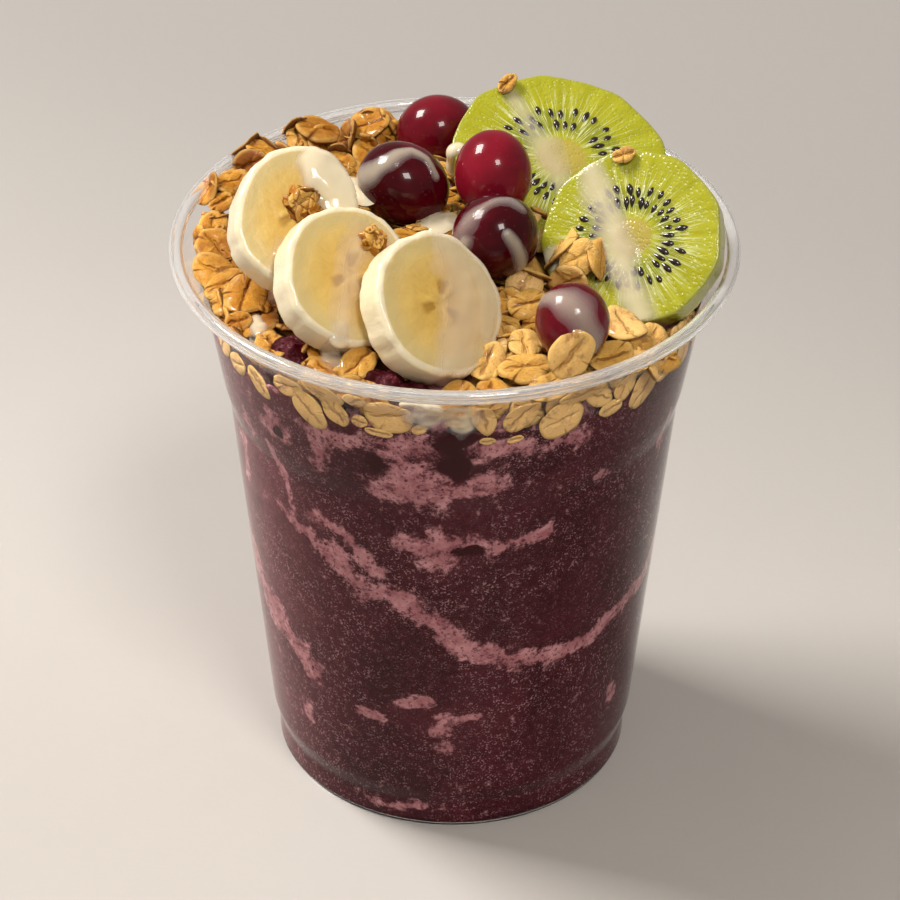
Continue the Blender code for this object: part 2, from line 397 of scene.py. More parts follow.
def cup_profile():
    """The outline of the turned wall: up the inside, over the rim, down the outside, under the base."""
    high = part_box("cup")[1]
    middle, level = high.x - BEAD, high.z - BEAD
    inside = [(r - WALL, z) for r, z in CORNERS]
    outside = CORNERS[::-1]
    foot = outside[-1][0]
    ring_in, ring_out = FOOT_RING
    floor = [
        (0.0, RECESS + WALL),
        (ring_in - 1.0 * MM, RECESS + WALL),
        (ring_in + 0.5 * MM, WALL),
        (foot - 0.9 * MM, WALL),
        (foot - WALL, 1.1 * MM),
    ]
    bead = []
    for i in range(15):
        angle = math.radians(150 - 270 * i / 14)
        bead.append((middle + INNER_BEAD * math.cos(angle), level + INNER_BEAD * math.sin(angle)))
    base = [
        (foot, 0.9 * MM),
        (ring_out, 0.0),
        (ring_in, 0.0),
        (ring_in - 1.2 * MM, RECESS),
        (0.0, RECESS),
    ]
    return rounded(floor + inside) + bead + rounded(outside + base)


def make_cup(material):
    """The clear wall and base, turned from their outline."""
    profile = cup_profile()
    rings = [ring(r, z, CUP_SEGMENTS) for r, z in profile[1:-1]]
    points, faces = ring_stack(rings)
    columns = CUP_SEGMENTS
    inside_middle, outside_middle = len(points), len(points) + 1
    points += [(0.0, 0.0, profile[0][1]), (0.0, 0.0, profile[-1][1])]
    last = (len(rings) - 1) * columns
    for j in range(columns):
        k = (j + 1) % columns
        faces.append((inside_middle, k, j))
        faces.append((outside_middle, last + j, last + k))
    faces = [face[::-1] for face in faces]
    piece = mesh_piece("clear_cup", points, faces, material)
    return ride(piece, "clear_plastic", "cup")


def make_rim(material):
    """The rolled edge: a ring round the mouth, open below, that catches the light."""
    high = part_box("cup")[1]
    middle, level = high.x - BEAD, high.z - BEAD
    rings = []
    for radius, start, turn in ((BEAD, -135.0, -270.0), (RIM_HOLLOW, -45.0, 270.0)):
        for i in range(16):
            angle = math.radians(start + turn * i / 15)
            r, z = middle + radius * math.cos(angle), level + radius * math.sin(angle)
            rings.append(ring(r, z, CUP_SEGMENTS))
    points, faces = ring_stack(rings + [rings[0]])
    piece = mesh_piece("rolled_rim", points, [face[::-1] for face in faces], material)
    return ride(piece, "clear_plastic", "cup")


def clear_plastic(name, whiteness, refraction):
    """Clear plastic that lamps shine through, a little white where it is rolled up thick."""
    n = Nodes(name)
    n.set(
        Base_Color=(0.97, 0.97, 0.97),
        Roughness=0.03,
        IOR=refraction,
        Transmission_Weight=1.0 - whiteness,
    )
    open_to_lamps = n.node("ShaderNodeBsdfTransparent")
    open_to_lamps.inputs["Color"].default_value = (0.93, 0.93, 0.93, 1.0)
    path = n.node("ShaderNodeLightPath")
    mixed = n.node("ShaderNodeMixShader")
    n.link(path.outputs["Is Shadow Ray"], mixed.inputs[0])
    n.link(n.shader.outputs[0], mixed.inputs[1])
    n.link(open_to_lamps.outputs[0], mixed.inputs[2])
    n.link(mixed.outputs[0], n.output.inputs["Surface"])
    return n.material


# ---------------------------------------------------------------- frozen blend

FILL_SEGMENTS = 300
FILL_ROWS = 120
INTO_WALL = 0.12 * MM
BLEND_LEVEL = 92.8 * MM
BANK_RISE = 3.6 * MM  # how far the blend stands up behind the flakes at the wall
FILL_LOW = 1.1 * MM
FILL_TOP_RADIUS = 42.1  # in mm
FILL_TOP_SHARES = (0.985, 0.975, 0.965, 0.955, 0.945, 0.93, 0.9, 0.84, 0.77, 0.7, 0.53, 0.34, 0.12)
WALL_RADIUS = 38.0  # the wall's usual radius in mm, to turn degrees round it into a distance

# Pale veins of frothy blend against the wall: half width in mm, then (degrees round from the
# front, height in mm) along the vein.
VEINS = (
    (1.3, (-50, 65), (-40, 63), (-32, 59)),
    (2.2, (-34, 61), (-27, 56), (-19, 54.5), (-11, 54)),
    (2.2, (-11, 54), (-4, 49)),
    (1.7, (-4, 49), (1, 44.5), (9, 43), (17, 40), (24, 38.5), (31, 38.5)),
    (1.3, (31, 38.5), (47, 40), (57, 42), (70, 43), (84, 50)),
    (1.1, (-40, 68), (-28, 66), (-20, 60)),
    (2.6, (-84, 52), (-72, 41.5), (-61, 37.5), (-54, 34.5), (-46, 31)),
    (0.9, (-20, 79), (-8, 78), (0, 79.5), (12, 80)),
    (0.9, (8, 66), (15, 67), (24, 69)),
    (0.7, (-52, 80), (-48, 72), (-44, 66)),
)
# Pale patches: degrees round, height, half width and half height in mm.
PATCHES = (
    (-47, 85, 2.6, 2.2),
    (-34, 83, 1.8, 3.2),
    (-69, 72, 1.2, 6.0),
    (-11, 84, 4.4, 5.8),
    (-10, 90, 4.0, 2.6),
    (-28, 88.5, 5.0, 1.6),
    (-14, 89.5, 5.0, 2.0),
    (13, 89.5, 4.6, 1.8),
    (26, 88.5, 4.6, 1.6),
    (-60, 80, 1.6, 3.0),
    (7, 83, 2.6, 3.6),
    (-4, 80, 8.0, 1.3),
    (-2, 67.5, 6.8, 2.0),
    (-2, 64.5, 4.0, 2.6),
    (-4, 25, 3.0, 2.4),
    (-2, 20, 1.8, 1.8),
    (-10, 30.5, 3.0, 0.8),
    (-24, 26, 2.4, 0.8),
    (4, 27, 3.0, 0.8),
    (-50, 19, 1.4, 2.0),
    (57, 20, 1.4, 2.0),
    (-16, 4.5, 6.0, 0.9),
    (66, 76, 1.0, 4.0),
    (40, 77, 2.0, 1.0),
)
# Dark juicy blotches and holes, in the same terms.
BLOTCHES = (
    (0, 91.5, 3.0, 2.6),
    (0, 86, 2.0, 3.4),
    (-19, 84.5, 2.6, 2.0),
    (2, 65.8, 3.4, 1.4),
    (-46, 84.5, 1.6, 1.4),
)


def fill_top(x, y):
    """The uneven top of the blend, under the granola, with a bank along the wall."""
    rough = noise.noise(Vector((x, y, 0.0)) / (6.0 * MM)) * 2.6 * MM
    fine = noise.noise(Vector((x, y, 0.01)) / (2.5 * MM)) * 0.5 * MM
    bank = BANK_RISE * soft_step(43.0 * MM - math.hypot(x, y), 1.4 * MM, 2.6 * MM)
    return BLEND_LEVEL + bank + rough * (1.0 - 0.5 * bank / BANK_RISE) + fine


def unrolled(points):
    """Points on the wall as (degrees round from the front, height in mm), a little warped."""
    flat = []
    for x, y, z in points:
        shift = noise.noise_vector(Vector((x, y, z)) / (5.0 * MM)) * 1.6
        shift += noise.noise_vector(Vector((x, y, z)) / (1.9 * MM)) * 0.6
        angle = math.degrees(math.atan2(x, -y))
        flat.append((angle + shift.x * 1.4, z / MM + shift.y))
    return np.array(flat)


def vein_share(flat, half_width, stations):
    """How deep each place lies in a vein, from 1 in its middle to 0 at twice its half width."""
    best = np.full(len(flat), 9.0)
    scale = np.array([math.radians(1.0) * WALL_RADIUS, 1.0])
    for a, b in zip(stations, stations[1:]):
        a, b = np.array(a) * scale, np.array(b) * scale
        way = b - a
        t = np.clip(((flat * scale - a) @ way) / (way @ way), 0.0, 1.0)
        away = np.linalg.norm(flat * scale - a - t[:, None] * way, axis=1)
        best = np.minimum(best, away / half_width)
    return np.clip(1.0 - best / 2.0, 0.0, 1.0)


def patch_share(flat, angle, height, half_width, half_height):
    """How deep each place lies in a patch, from 1 in its middle to 0 at twice its half size."""
    across = (flat[:, 0] - angle) * math.radians(1.0) * WALL_RADIUS / half_width
    up = (flat[:, 1] - height) / half_height
    return np.clip(1.0 - np.hypot(across, up) / 2.0, 0.0, 1.0)


def make_fill(material):
    """The blend, which fills the cup and just enters its wall so that no gap shows."""
    low = RECESS + WALL
    ring_in = FOOT_RING[0]
    rings = [ring(ring_in * 0.97, low, FILL_SEGMENTS), ring(ring_in + 0.8 * MM, WALL, FILL_SEGMENTS)]
    edge = inner_radius(90.0 * MM) - 0.4 * MM
    for i in range(FILL_ROWS + 1):
        share = i / FILL_ROWS
        at_wall = []
        for c, s in circle(FILL_SEGMENTS):
            z = FILL_LOW + (fill_top(edge * c, edge * s) - FILL_LOW) * share
            r = inner_radius(z) + INTO_WALL
            at_wall.append((r * c, r * s, z))
        rings.append(at_wall)
    for share in FILL_TOP_SHARES:
        flat_ring = ring(share * FILL_TOP_RADIUS * MM, 0.0, FILL_SEGMENTS)
        rings.append([(x, y, fill_top(x, y)) for x, y, _ in flat_ring])
    points, faces = ring_stack(rings, (0.0, 0.0, low), (0.0, 0.0, fill_top(0.0, 0.0)))
    flat = unrolled(points)
    pale = np.max([vein_share(flat, width, stations) for width, *stations in VEINS], axis=0)
    pale = np.maximum(pale, np.max([patch_share(flat, *patch) for patch in PATCHES], axis=0))
    pale = np.maximum(pale, np.clip((flat[:, 1] - 93.0) / 2.0, 0.0, 0.62))
    dark = np.max([patch_share(flat, *blotch) for blotch in BLOTCHES], axis=0)
    behind = np.clip((np.abs(flat[:, 0]) - 88.0) / 10.0, 0.0, 1.0)
    looks = {"pale": pale, "dark": dark, "behind": behind}
    piece = mesh_piece("acai_fill", points, faces, material, attributes=looks)
    return ride(piece, "acai_blend", "acai")


def acai_blend():
    """Dark frozen blend with fine ice, marbled with pale froth that has small pits in it, and paler on
    its left side with frost and painted light.
    """
    n = Nodes("acai_blend")
    where = n.local()
    cloud = n.noise(where, 55.0, 5.0, 0.62, 0.6)
    grain = n.noise(where, 900.0, 5.0, 0.75, 0.4)
    ragged = n.noise(where, 300.0, 8.0, 0.72, 0.35)
    lace = n.noise(where, 950.0, 4.0, 0.6, 0.2)
    base = n.mix(n.smooth(cloud, 0.3, 0.7), (0.038, 0.0026, 0.006), (0.080, 0.0085, 0.016))
    base = n.mix(n.smooth(grain, 0.45, 0.72, 0.0, 0.5), base, (0.14, 0.030, 0.040))
    zone = n.smooth(n.noise(where, 70.0, 4.0, 0.6, 0.8), 0.34, 0.62, 0.25, 1.0)
    # Frost with painted light: the left side, towards the window lamp, is made paler.
    left_side_frost_and_light = n.smooth(n.split(where)["X"], -16.0 * MM, -38.0 * MM)
    frost_and_painted_light = n.times(left_side_frost_and_light, n.smooth(ragged, 0.3, 0.62, 0.25, 0.75))
    base = n.mix(frost_and_painted_light, base, (0.22, 0.060, 0.072))
    ice = n.smooth(n.noise(where, 2800.0, 1.0), 0.55, 0.65)
    ice = n.times(ice, n.smooth(n.noise(where, 800.0, 2.0), 0.40, 0.56))
    base = n.mix(n.times(ice, zone), base, (0.36, 0.18, 0.20))
    round_wall = n.noise(n.scaled(where, (38.0, 38.0, 60.0)), 1.0, 5.0, 0.6, 1.2)
    hidden_side = n.times(n.smooth(round_wall, 0.56, 0.72), n.attribute("behind"))
    pale = n.math("MAXIMUM", n.attribute("pale"), hidden_side)
    patchy = n.math("SUBTRACT", n.noise(where, 120.0, 3.0, 0.6), 0.47)
    pale = n.math("MULTIPLY_ADD", patchy, n.times(n.smooth(pale, 0.0, 0.4), 1.6), pale)
    field = n.math("MULTIPLY_ADD", n.math("SUBTRACT", ragged, 0.5), 2.6, pale)
    field = n.math("MULTIPLY_ADD", n.math("SUBTRACT", lace, 0.5), 0.7, field)
    froth = n.smooth(field, 0.26, 0.74, 0.0, 0.97)
    froth = n.times(froth, n.smooth(n.noise(where, 1300.0, 2.0), 0.36, 0.46, 0.3, 1.0))
    froth_color = n.mix(n.smooth(ragged, 0.38, 0.72), (0.38, 0.130, 0.148), (0.68, 0.34, 0.35))
    color = n.mix(froth, base, froth_color)
    pits = n.times(n.smooth(n.cells(where, 400.0), 0.17, 0.11), n.smooth(froth, 0.4, 0.8))
    pits = n.times(pits, n.smooth(n.noise(where, 170.0), 0.46, 0.54))
    color = n.mix(pits, color, (0.07, 0.006, 0.012))
    juice = n.math("MULTIPLY_ADD", n.math("SUBTRACT", ragged, 0.5), 1.3, n.attribute("dark"))
    juice = n.smooth(juice, 0.42, 0.56)
    color = n.mix(juice, color, (0.036, 0.001, 0.003))
    n.set(
        Base_Color=color,
        Roughness=0.5,
        Specular_IOR_Level=0.06,
        Normal=n.bump(n.math("ADD", ragged, n.times(grain, 0.4)), 0.35 * MM, 0.6),
        Subsurface_Weight=0.06,
        Subsurface_Radius=(1.0, 0.3, 0.3),
        Subsurface_Scale=0.8 * MM,
    )
    return n.material


# ---------------------------------------------------------------- fruit


class Lie:
    """How a slice lies: its middle, its axes and its outline, read from its solid."""

    def __init__(self, node):
        points = node_points(node)
        self.middle = points.mean(0)
        thin = np.linalg.svd(points - self.middle)[2][2]
        normal = thin if thin[2] > 0 else -thin
        along = np.cross([0.0, 1.0, 0.0], normal)
        along /= np.linalg.norm(along)
        self.axes = np.stack([along, np.cross(normal, along), normal])
        local = (points - self.middle) @ self.axes.T
        self.half_thickness = float(np.abs(local[:, 2]).max())
        flat = [Vector(p[:2]) for p in local]
        self.outline = [flat[i] for i in convex_hull_2d(flat)]

    def reach(self, angle):
        """How far the outline is from the middle in one direction."""
        way = Vector((math.cos(angle), math.sin(angle)))
        for a, b in zip(self.outline, self.outline[1:] + self.outline[:1]):
            edge = b - a
            turn = way.cross(edge)
            if abs(turn) < 1e-12:
                continue
            reach = a.cross(edge) / turn
            share = a.cross(way) / turn
            if reach > 0.0 and -1e-6 <= share <= 1.0 + 1e-6:
                return reach
        return 0.0

    def reaches(self, count):
        """The outline's reach at equally spaced angles, with its facets smoothed a little."""
        raw = np.array([self.reach(2.0 * math.pi * i / count) for i in range(count)])
        return sum(np.roll(raw, shift) for shift in (-2, -1, 0, 1, 2)) / 5.0

    def place(self):
        """The matrix that takes the piece's own coordinates to where it lies."""
        return Matrix.Translation(Vector(self.middle)) @ axes_turn(self.axes)

    def to_world(self, x, y, z):
        return self.place() @ Vector((x, y, z))


def make_slice(kind, number, material, rounding, columns, face_rows, side_rows, relief, ridge):
    """A slice on the axes of its solid, which knows each point's share of the way out.

    relief gives the face's height at a share and angle, and ridge the side's at an angle and height.
    """
    lie = Lie(f"{kind}_{number}")
    reaches = lie.reaches(columns)
    half = lie.half_thickness
    angles = [2.0 * math.pi * j / columns for j in range(columns)]
    rings, shares = [], []

    def add(inset, z, share, face):
        row = []
        for angle, reach in zip(angles, reaches):
            if face:
                r = (reach - rounding) * share
                height = z + math.copysign(relief(share, angle), z)
            else:
                r = reach - inset + ridge(angle, z)
                height = z
            row.append((r * math.cos(angle), r * math.sin(angle), height))
        rings.append(row)
        shares.extend([share] * columns)

    face_shares = [(i + 1) / face_rows for i in range(face_rows)]
    curve = [math.radians(90.0 * (i + 1) / 5) for i in range(4)]
    for share in face_shares:
        add(0.0, -half, share, True)
    for turn in curve:
        add(rounding * (1 - math.sin(turn)), -half + rounding * (1 - math.cos(turn)), 1.0, False)
    for i in range(side_rows + 1):
        add(0.0, (-1 + 2 * i / side_rows) * (half - rounding), 1.0, False)
    for turn in curve[::-1]:
        add(rounding * (1 - math.sin(turn)), half - rounding * (1 - math.cos(turn)), 1.0, False)
    for share in face_shares[::-1]:
        add(0.0, half, share, True)
    middle_height = half + relief(0.0, 0.0)
    points, faces = ring_stack(rings, (0.0, 0.0, -middle_height), (0.0, 0.0, middle_height))
    looks = {"share": shares + [0.0, 0.0]}
    piece = mesh_piece(f"{kind}_slice_{number}", points, faces, material, lie.place(), attributes=looks)
    return ride(piece, f"{kind}_flesh", f"{kind}_{number}")


BANANA_CORE_TURN = 0.5


def make_banana(number, material):
    """A banana slice: sunken yellow middle with three lobes, cream rim and ridged side."""
    seed = 10.0 * number

    def relief(share, angle):
        sunk = 0.07 * MM * (1.0 - soft_step(share, 0.66, 0.90))
        lobes = math.cos(3.0 * (angle - BANANA_CORE_TURN - number))
        core = 0.10 * MM * soft_step(lobes, 0.5, 1.0) * soft_step(share, 0.06, 0.14)
        core *= 1.0 - soft_step(share, 0.26, 0.36)
        at = Vector((share * math.cos(angle), share * math.sin(angle), seed)) * 4.0
        return -sunk - core + 0.10 * MM * noise.noise(at)

    def ridge(angle, z):
        at = Vector((math.cos(angle) * 5.0, math.sin(angle) * 5.0, seed + z / (12.0 * MM)))
        facets = abs(math.sin(6.5 * angle + 2.0 * noise.noise(at * 0.4)))
        chips = noise.noise(Vector((at.x * 3.0, at.y * 3.0, seed + z / (1.6 * MM))))
        return (0.26 * facets - 0.18 + 0.16 * noise.noise(at) + 0.10 * chips) * MM

    return make_slice("banana", number, material, 0.95 * MM, 128, 14, 10, relief, ridge)


def banana_flesh():
    """Yellow with a darker core in three parts, under a paler rim and a nearly white side."""
    n = Nodes("banana_flesh")
    where = n.local()
    share = n.attribute("share")
    way = n.vector("NORMALIZE", where)
    uneven = n.noise(where, 330.0, 3.0)
    reach = n.math("MULTIPLY_ADD", uneven, 0.10, n.math("SUBTRACT", share, 0.05))
    rim = n.smooth(reach, 0.62, 0.93)
    fibres = n.noise(n.scaled(way, (9.0, 9.0, 9.0)), 1.0, 3.0, 0.6)
    patches = n.noise(where, 180.0, 3.0, 0.55)
    middle = n.mix(fibres, (0.68, 0.40, 0.070), (0.84, 0.57, 0.14))
    middle = n.mix(n.smooth(share, 0.30, 0.75, 0.0, 0.5), middle, (0.84, 0.62, 0.22))
    middle = n.mix(n.smooth(patches, 0.45, 0.75, 0.0, 0.6), middle, (0.80, 0.55, 0.15))
    at = n.split(where)
    angle = n.math("ARCTAN2", at["Y"], at["X"])
    wobble = n.times(n.noise(where, 420.0, 2.0), 1.4)
    lobes = n.math("COSINE", n.math("MULTIPLY_ADD", angle, 3.0, wobble))
    core = n.times(n.smooth(lobes, 0.30, 0.90), n.smooth(share, 0.40, 0.28))
    core = n.times(core, n.smooth(share, 0.09, 0.17))
    middle = n.mix(n.times(core, 0.85), middle, (0.46, 0.24, 0.022))
    dots = n.times(n.smooth(n.cells(where, 420.0), 0.16, 0.10), core)
    middle = n.mix(n.times(dots, 0.8), middle, (0.13, 0.05, 0.01))
    cream = n.mix(n.noise(where, 260.0, 4.0), (0.75, 0.59, 0.25), (0.69, 0.52, 0.20))
    cream = n.mix(n.smooth(share, 0.97, 1.0, 0.0, 0.8), cream, (0.93, 0.83, 0.60))
    color = n.mix(rim, middle, cream)
    grain = n.noise(where, 900.0, 4.0, 0.6)
    long_grain = n.noise(n.scaled(where, (1500.0, 1500.0, 260.0)), 1.0, 3.0, 0.6)
    height = n.math("ADD", grain, n.times(long_grain, n.times(rim, 0.8)))
    n.set(
        Base_Color=color,
        Roughness=n.smooth(rim, 0.0, 1.0, 0.26, 0.42),
        Normal=n.bump(height, 0.12 * MM, 0.6),
        Subsurface_Weight=0.22,
        Subsurface_Radius=(1.0, 0.6, 0.25),
        Subsurface_Scale=1.6 * MM,
        Coat_Weight=0.45,
        Coat_Roughness=0.08,
    )
    return n.material


# ---------------------------------------------------------------- kiwi

KIWI_SEED_ROWS = ((0.40, 0.02), (0.54, 0.04))
KIWI_SEEDS_IN_ROW = 29


def make_kiwi(number, material):
    """A kiwi slice with a swollen core and the flats of its peeling."""
    seed = 30.0 + number

    def relief(share, angle):
        core = 0.25 * MM * (1.0 - soft_step(share, 0.12, 0.28))
        seeds = 0.12 * MM * soft_step(share, 0.3, 0.4) * (1.0 - soft_step(share, 0.55, 0.68))
        at = Vector((share * math.cos(angle), share * math.sin(angle), seed)) * 5.0
        rays = 0.05 * MM * math.sin(34.0 * angle) * soft_step(share, 0.25, 0.4)
        return core - seeds + rays * (1.0 - share) + 0.12 * MM * noise.noise(at)

    def ridge(angle, z):
        at = Vector((math.cos(angle) * 6.0, math.sin(angle) * 6.0, seed + z / (3.0 * MM)))
        return 0.14 * MM * noise.noise(at)

    return make_slice("kiwi", number, material, 0.35 * MM, 160, 18, 8, relief, ridge)


def kiwi_flesh():
    """Wet green with pale rays and painted glints, a darker zone round the seeds and a cream core."""
    n = Nodes("kiwi_flesh")
    where = n.local()
    share = n.attribute("share")
    at = n.split(where)
    flat = n.filled("ShaderNodeCombineXYZ", {"X": at["X"], "Y": at["Y"]})
    way = n.vector("NORMALIZE", flat.outputs[0])
    along = n.vector("MULTIPLY_ADD", way, (13.0, 13.0, 13.0))
    n.link(n.scaled(where, (60.0, 60.0, 60.0)), along.node.inputs[2])
    fibres = n.noise(along, 1.0, 2.0, 0.5)
    rays = n.smooth(n.math("ABSOLUTE", n.math("SUBTRACT", fibres, 0.5)), 0.035, 0.0)
    wide = n.smooth(n.noise(n.scaled(way, (6.0, 6.0, 6.0)), 1.0, 2.0), 0.35, 0.65)
    ray_zone = n.times(n.smooth(share, 0.20, 0.30), n.smooth(share, 0.97, 0.55))
    rays = n.times(rays, ray_zone)
    patches = n.noise(where, 240.0, 4.0, 0.6)
    flesh = n.mix(patches, (0.30, 0.305, 0.002), (0.43, 0.415, 0.008))
    flesh = n.mix(n.times(wide, 0.45), flesh, (0.54, 0.54, 0.04))
    seed_zone = n.times(n.smooth(share, 0.26, 0.36), n.smooth(share, 0.66, 0.52))
    flesh = n.mix(n.times(seed_zone, 0.55), flesh, (0.17, 0.20, 0.008))
    grains = n.cells(where, 1500.0)
    # Painted glints: tiny pale specks that stand in for sparkles of light on the wet flesh.
    painted_glints = n.times(n.smooth(grains, 0.26, 0.10), n.smooth(n.noise(where, 600.0), 0.42, 0.60))
    flesh = n.mix(n.times(painted_glints, 0.6), flesh, (0.80, 0.84, 0.45))
    flesh = n.mix(n.times(rays, 0.85), flesh, (0.78, 0.82, 0.45))
    core = n.smooth(n.math("MULTIPLY_ADD", patches, 0.06, share), 0.30, 0.22)
    flesh = n.mix(core, flesh, (0.48, 0.385, 0.07))
    side = n.smooth(n.math("MULTIPLY_ADD", patches, 0.02, share), 0.985, 1.0)
    flesh = n.mix(n.times(side, 0.75), flesh, (0.36, 0.36, 0.04))
    height = n.math("ADD", n.smooth(grains, 0.0, 0.6), n.times(n.noise(where, 2600.0), 0.5))
    n.set(
        Base_Color=flesh,
        Roughness=0.24,
        Normal=n.bump(height, 0.12 * MM, 0.6),
        Subsurface_Weight=0.25,
        Subsurface_Radius=(0.7, 1.0, 0.15),
        Subsurface_Scale=1.8 * MM,
        Coat_Weight=0.35,
        Coat_Roughness=0.08,
    )
    return n.material


def teardrop(length, width, depth, columns=10, rows=8):
    """A seed, pointed towards -X, as points and faces."""
    rings = []
    for i in range(1, rows):
        t = i / rows
        x = (t - 0.5) * length
        r = math.sin(math.pi * t**1.35) ** 0.9
        rings.append([(x, r * c * width / 2.0, r * s * depth / 2.0) for c, s in circle(columns)])
    return ring_stack(rings, (-length / 2.0, 0.0, 0.0), (length / 2.0, 0.0, 0.0))


class Gather:
    """Many small closed shapes, joined into one mesh."""

    def __init__(self):
        self.points, self.faces, self.values = [], [], {}

    def add(self, points, faces, matrix=Matrix(), **values):
        """Adds a shape at its place, with values that are one for all its points or one for each."""
        start = len(self.points)
        self.points += [tuple(matrix @ Vector(p)) for p in points]
        self.faces += [tuple(start + i for i in face) for face in faces]
        for key, value in values.items():
            many = np.broadcast_to(np.asarray(value, float), (len(points),))
            self.values.setdefault(key, []).append(many)

    def piece(self, name, material, slot, *replaced):
        attributes = {key: np.concatenate(parts) for key, parts in self.values.items()}
        made = mesh_piece(name, self.points, self.faces, material, attributes=attributes)
        return ride(made, slot, *replaced)


def make_kiwi_seeds(lies, material, rng):
    """Two staggered rows of black seeds in each slice, on both of its faces."""
    seeds = Gather()
    for lie in lies:
        for side in (1.0, -1.0):
            for row, (share, spread) in enumerate(KIWI_SEED_ROWS):
                for i in range(KIWI_SEEDS_IN_ROW):
                    if rng.random() < 0.07:
                        continue
                    angle = 2.0 * math.pi * (i + 0.5 * row + rng.uniform(-0.16, 0.16)) / KIWI_SEEDS_IN_ROW
                    r = lie.reach(angle) * (share + rng.uniform(-spread, spread))
                    length = rng.uniform(2.3, 3.1) * MM
                    shape = teardrop(length, rng.uniform(0.95, 1.25) * MM, 0.9 * MM)
                    z = side * (lie.half_thickness - rng.uniform(-0.02, 0.14) * MM)
                    spin = Matrix.Rotation(angle + rng.uniform(-0.15, 0.15), 4, "Z")
                    at = Matrix.Translation((r * math.cos(angle), r * math.sin(angle), z))
                    seeds.add(*shape, lie.place() @ at @ spin)
    seeds.piece("kiwi_seeds", material, "kiwi_flesh")


def kiwi_seed():
    """Shiny, nearly black brown."""
    n = Nodes("kiwi_seed")
    tone = n.noise(n.local(), 700.0)
    n.set(
        Base_Color=n.mix(tone, (0.006, 0.004, 0.003), (0.03, 0.014, 0.008)),
        Roughness=0.22,
        Coat_Weight=0.6,
        Coat_Roughness=0.08,
    )
    return n.material


# ---------------------------------------------------------------- grapes

GRAPE_TONES = (0.55, 0.15, 0.95, 0.1, 0.5)  # 0 for nearly black, 1 for clear red


def make_grape(number, material, rng):
    """A smooth berry with the small scar of its stalk at one end."""
    node = f"grape_{number}"
    points = node_points(node)
    middle = points.mean(0)
    axes = np.linalg.svd(points - middle)[2]
    long = axes[0] if axes[0][1] > 0 else -axes[0]
    own_axes = np.stack([axes[1], np.cross(long, axes[1]), long])
    half = np.abs((points - middle) @ own_axes.T).max(0)
    columns, rows = 64, 44
    rings, scars = [], []
    phase = rng.uniform(0.0, 6.0)
    for i in range(1, rows):
        turn = math.pi * i / rows
        sink = 0.5 * MM * math.exp(-((math.pi - turn) / 0.13) ** 2)
        row = []
        for c, s in circle(columns):
            swell = 1.0 + 0.012 * noise.noise(Vector((c, s, turn)) * 1.3 + Vector((phase, 0, 0)))
            r = math.sin(turn) * swell
            z = -math.cos(turn) * half[2] - sink
            row.append((r * c * half[0], r * s * half[1], z))
        rings.append(row)
        scars.extend([math.exp(-((math.pi - turn) / 0.10) ** 2)] * columns)
    points, faces = ring_stack(rings, (0.0, 0.0, -half[2]), (0.0, 0.0, half[2] - 0.5 * MM))
    place = Matrix.Translation(Vector(middle)) @ axes_turn(own_axes)
    looks = {"scar": scars + [0.0, 1.0], "tone": [GRAPE_TONES[number - 1]] * len(points)}
    piece = mesh_piece(f"grape_berry_{number}", points, faces, material, place, attributes=looks)
    return ride(piece, "grape_skin", node)


def grape_skin():
    """Smooth dark red skin with paler dots, and a brown scar where the stalk was."""
    n = Nodes("grape_skin")
    where = n.local()
    cloud = n.noise(where, 95.0, 3.0, 0.55, 0.3)
    tone = n.math("MULTIPLY_ADD", cloud, 0.9, n.math("MULTIPLY_ADD", n.attribute("tone"), 0.6, -0.5))
    skin = n.mix(n.math("MAXIMUM", tone, 0.0, clamp=True), (0.044, 0.0004, 0.003), (0.34, 0.011, 0.030))
    dots = n.smooth(n.cells(where, 900.0), 0.16, 0.06, 0.0, 0.30)
    skin = n.mix(dots, skin, (0.30, 0.05, 0.04))
    skin = n.mix(n.attribute("scar"), skin, (0.20, 0.11, 0.05))
    fine = n.noise(where, 500.0, 3.0)
    n.set(
        Base_Color=skin,
        Roughness=n.smooth(fine, 0.3, 0.7, 0.16, 0.26),
        Specular_IOR_Level=0.08,
        Normal=n.bump(fine, 0.03 * MM, 0.3),
        Subsurface_Weight=0.12,
        Subsurface_Radius=(1.0, 0.12, 0.08),
        Subsurface_Scale=2.0 * MM,
        Coat_Weight=0.36,
        Coat_Roughness=0.03,
    )
    return n.material


# ---------------------------------------------------------------- granola

CELL = 0.4 * MM
PILE_REACH = 46.0 * MM
CORE_DEPTH = 2.6 * MM  # how far the core stays below the heap's outline
CORE_LOW = 91.0 * MM
FLAKE_SINK = 0.2 * MM  # how far a flake sinks into those below it
ABOVE_OUTLINE = 0.7 * MM  # how far a flake may stand over the heap's outline
STEEPEST = 0.75  # the steepest slope that flakes are laid on, as rise over run
FLAKE_COUNT = 390
CHIP_COUNT = 110
FLAKE_TRIES = 14000
FLAKE_REACH = 43.5 * MM
CHIP_REACH = 43.0 * MM
STANDING_FLAKES = 44
WALL_GRIP = 0.17 * MM  # how far the pressed flakes stand into the wall, just in front of the blend
